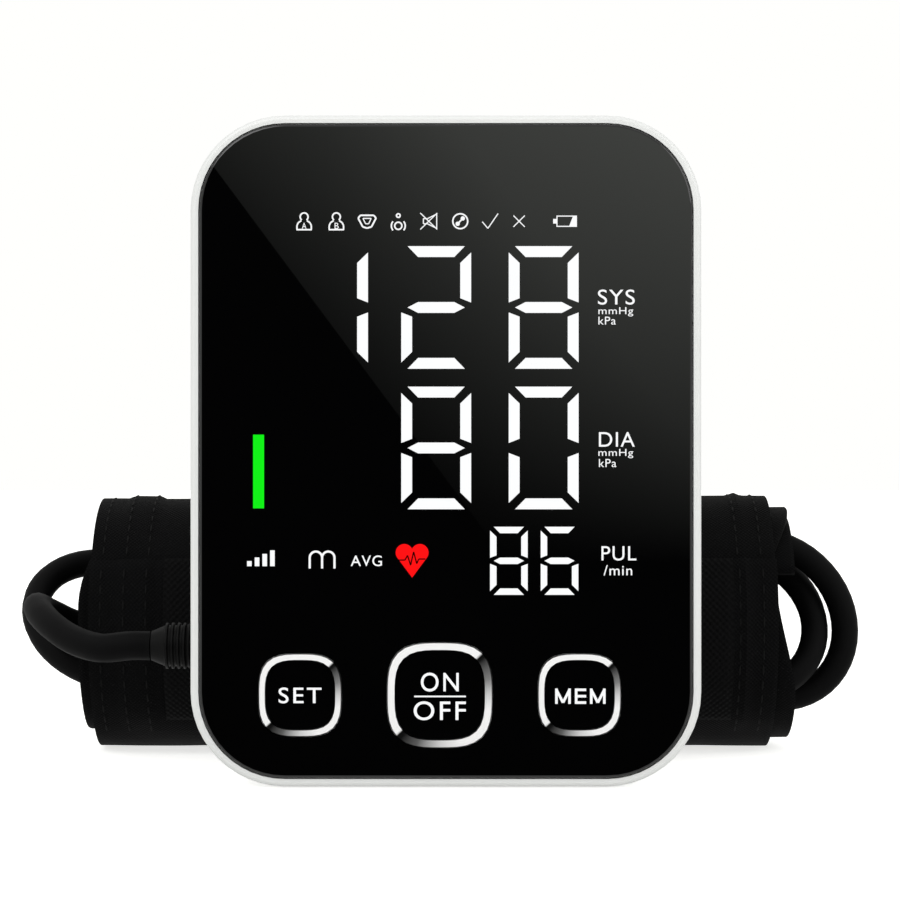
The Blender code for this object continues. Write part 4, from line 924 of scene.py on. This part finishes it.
glow, start = new_finish("board_light", {"Base Color": (0, 0, 0, 1), "Roughness": 1, "Emission Strength": 1})
place = start.node("TexCoord", {}, {}, "Object")
board_x = start.node("SeparateXYZ", {}, {"Vector": place}, "X")
board_z = start.node("SeparateXYZ", {}, {"Vector": place}, "Z")
EDGE_X, EDGE_Z = -0.0959, 0.1819
EDGE_SLOPE = 1.345
over = (board_z - EDGE_Z) + EDGE_SLOPE * (board_x - EDGE_X)
lit = start.math("GREATER_THAN", over, 0.0)
rise = start.node("MapRange", {}, {"Value": board_z, 1: 0.02, 2: 0.20, 3: 0.0, 4: 1.0})
side_rise = start.node("MapRange", {}, {"Value": board_x, 1: -0.05, 2: 0.10, 3: 0.6, 4: 1.0})
edge_rise = start.node("MapRange", {}, {"Value": over, 1: 0.0, 2: 0.15, 3: 0.25, 4: 1.0})
level = lit * rise * side_rise * edge_rise * BOARD_LEVEL
feed(glow, {"Emission Color": start.node("CombineColor", {}, {0: 0.96 * level, 1: level, 2: 0.93 * level})})
board_mesh.materials.append(glow)
board.visible_camera = False
board.visible_shadow = False
board.visible_diffuse = False
board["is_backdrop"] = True

world = bpy.data.worlds.new("surround")
world.use_nodes = True
bpy.context.scene.world = world
start = Wire(world.node_tree)
path = start.node("LightPath", {}, {}, "Is Camera Ray")
glossy = Wire(start.tree, path.socket.node.outputs["Is Glossy Ray"])
through = Wire(start.tree, path.socket.node.outputs["Is Transmission Ray"])
seen = start.math("MAXIMUM", path, start.math("MAXIMUM", glossy, through))
SURROUND = 0.66
background = world.node_tree.nodes["Background"]
background.inputs["Color"].default_value = (1.0, 1.0, 0.985, 1)
world.node_tree.links.new((SURROUND + (1 - SURROUND) * seen).socket, background.inputs["Strength"])

LAMPS_AIM = Vector((0, 0.02, 0.06))
for name, spot, size, power in (
    ("key_lamp", (-0.55, -0.75, 0.95), 0.7, 5),
    ("side_lamp", (0.85, -0.45, 0.55), 0.6, 2.2),
    ("low_fill", (0.10, -0.90, 0.02), 0.6, 1.4),
):
    lamp_data = bpy.data.lights.new(name, "AREA")
    lamp_data.size = size
    lamp_data.energy = power
    lamp = bpy.data.objects.new(name, lamp_data)
    lamp.location = spot
    lamp.rotation_euler = (LAMPS_AIM - Vector(spot)).to_track_quat("-Z", "Y").to_euler()
    lamp.visible_glossy = name != "low_fill"
    bpy.context.scene.collection.objects.link(lamp)

# The camera looks straight at the face through a long lens, from the height of its middle, so
# that the sides of the case stay out of sight.
camera_data = bpy.data.cameras.new("camera")
camera_data.sensor_width = 36
camera_data.lens = 112.6
camera = bpy.data.objects.new("camera", camera_data)
camera.location = (0.0008, -0.574, 0.0659)
camera.rotation_euler = (math.radians(90), 0, 0)
bpy.context.scene.collection.objects.link(camera)
bpy.context.scene.camera = camera
bpy.context.scene.view_settings.view_transform = "Standard"

low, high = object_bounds()
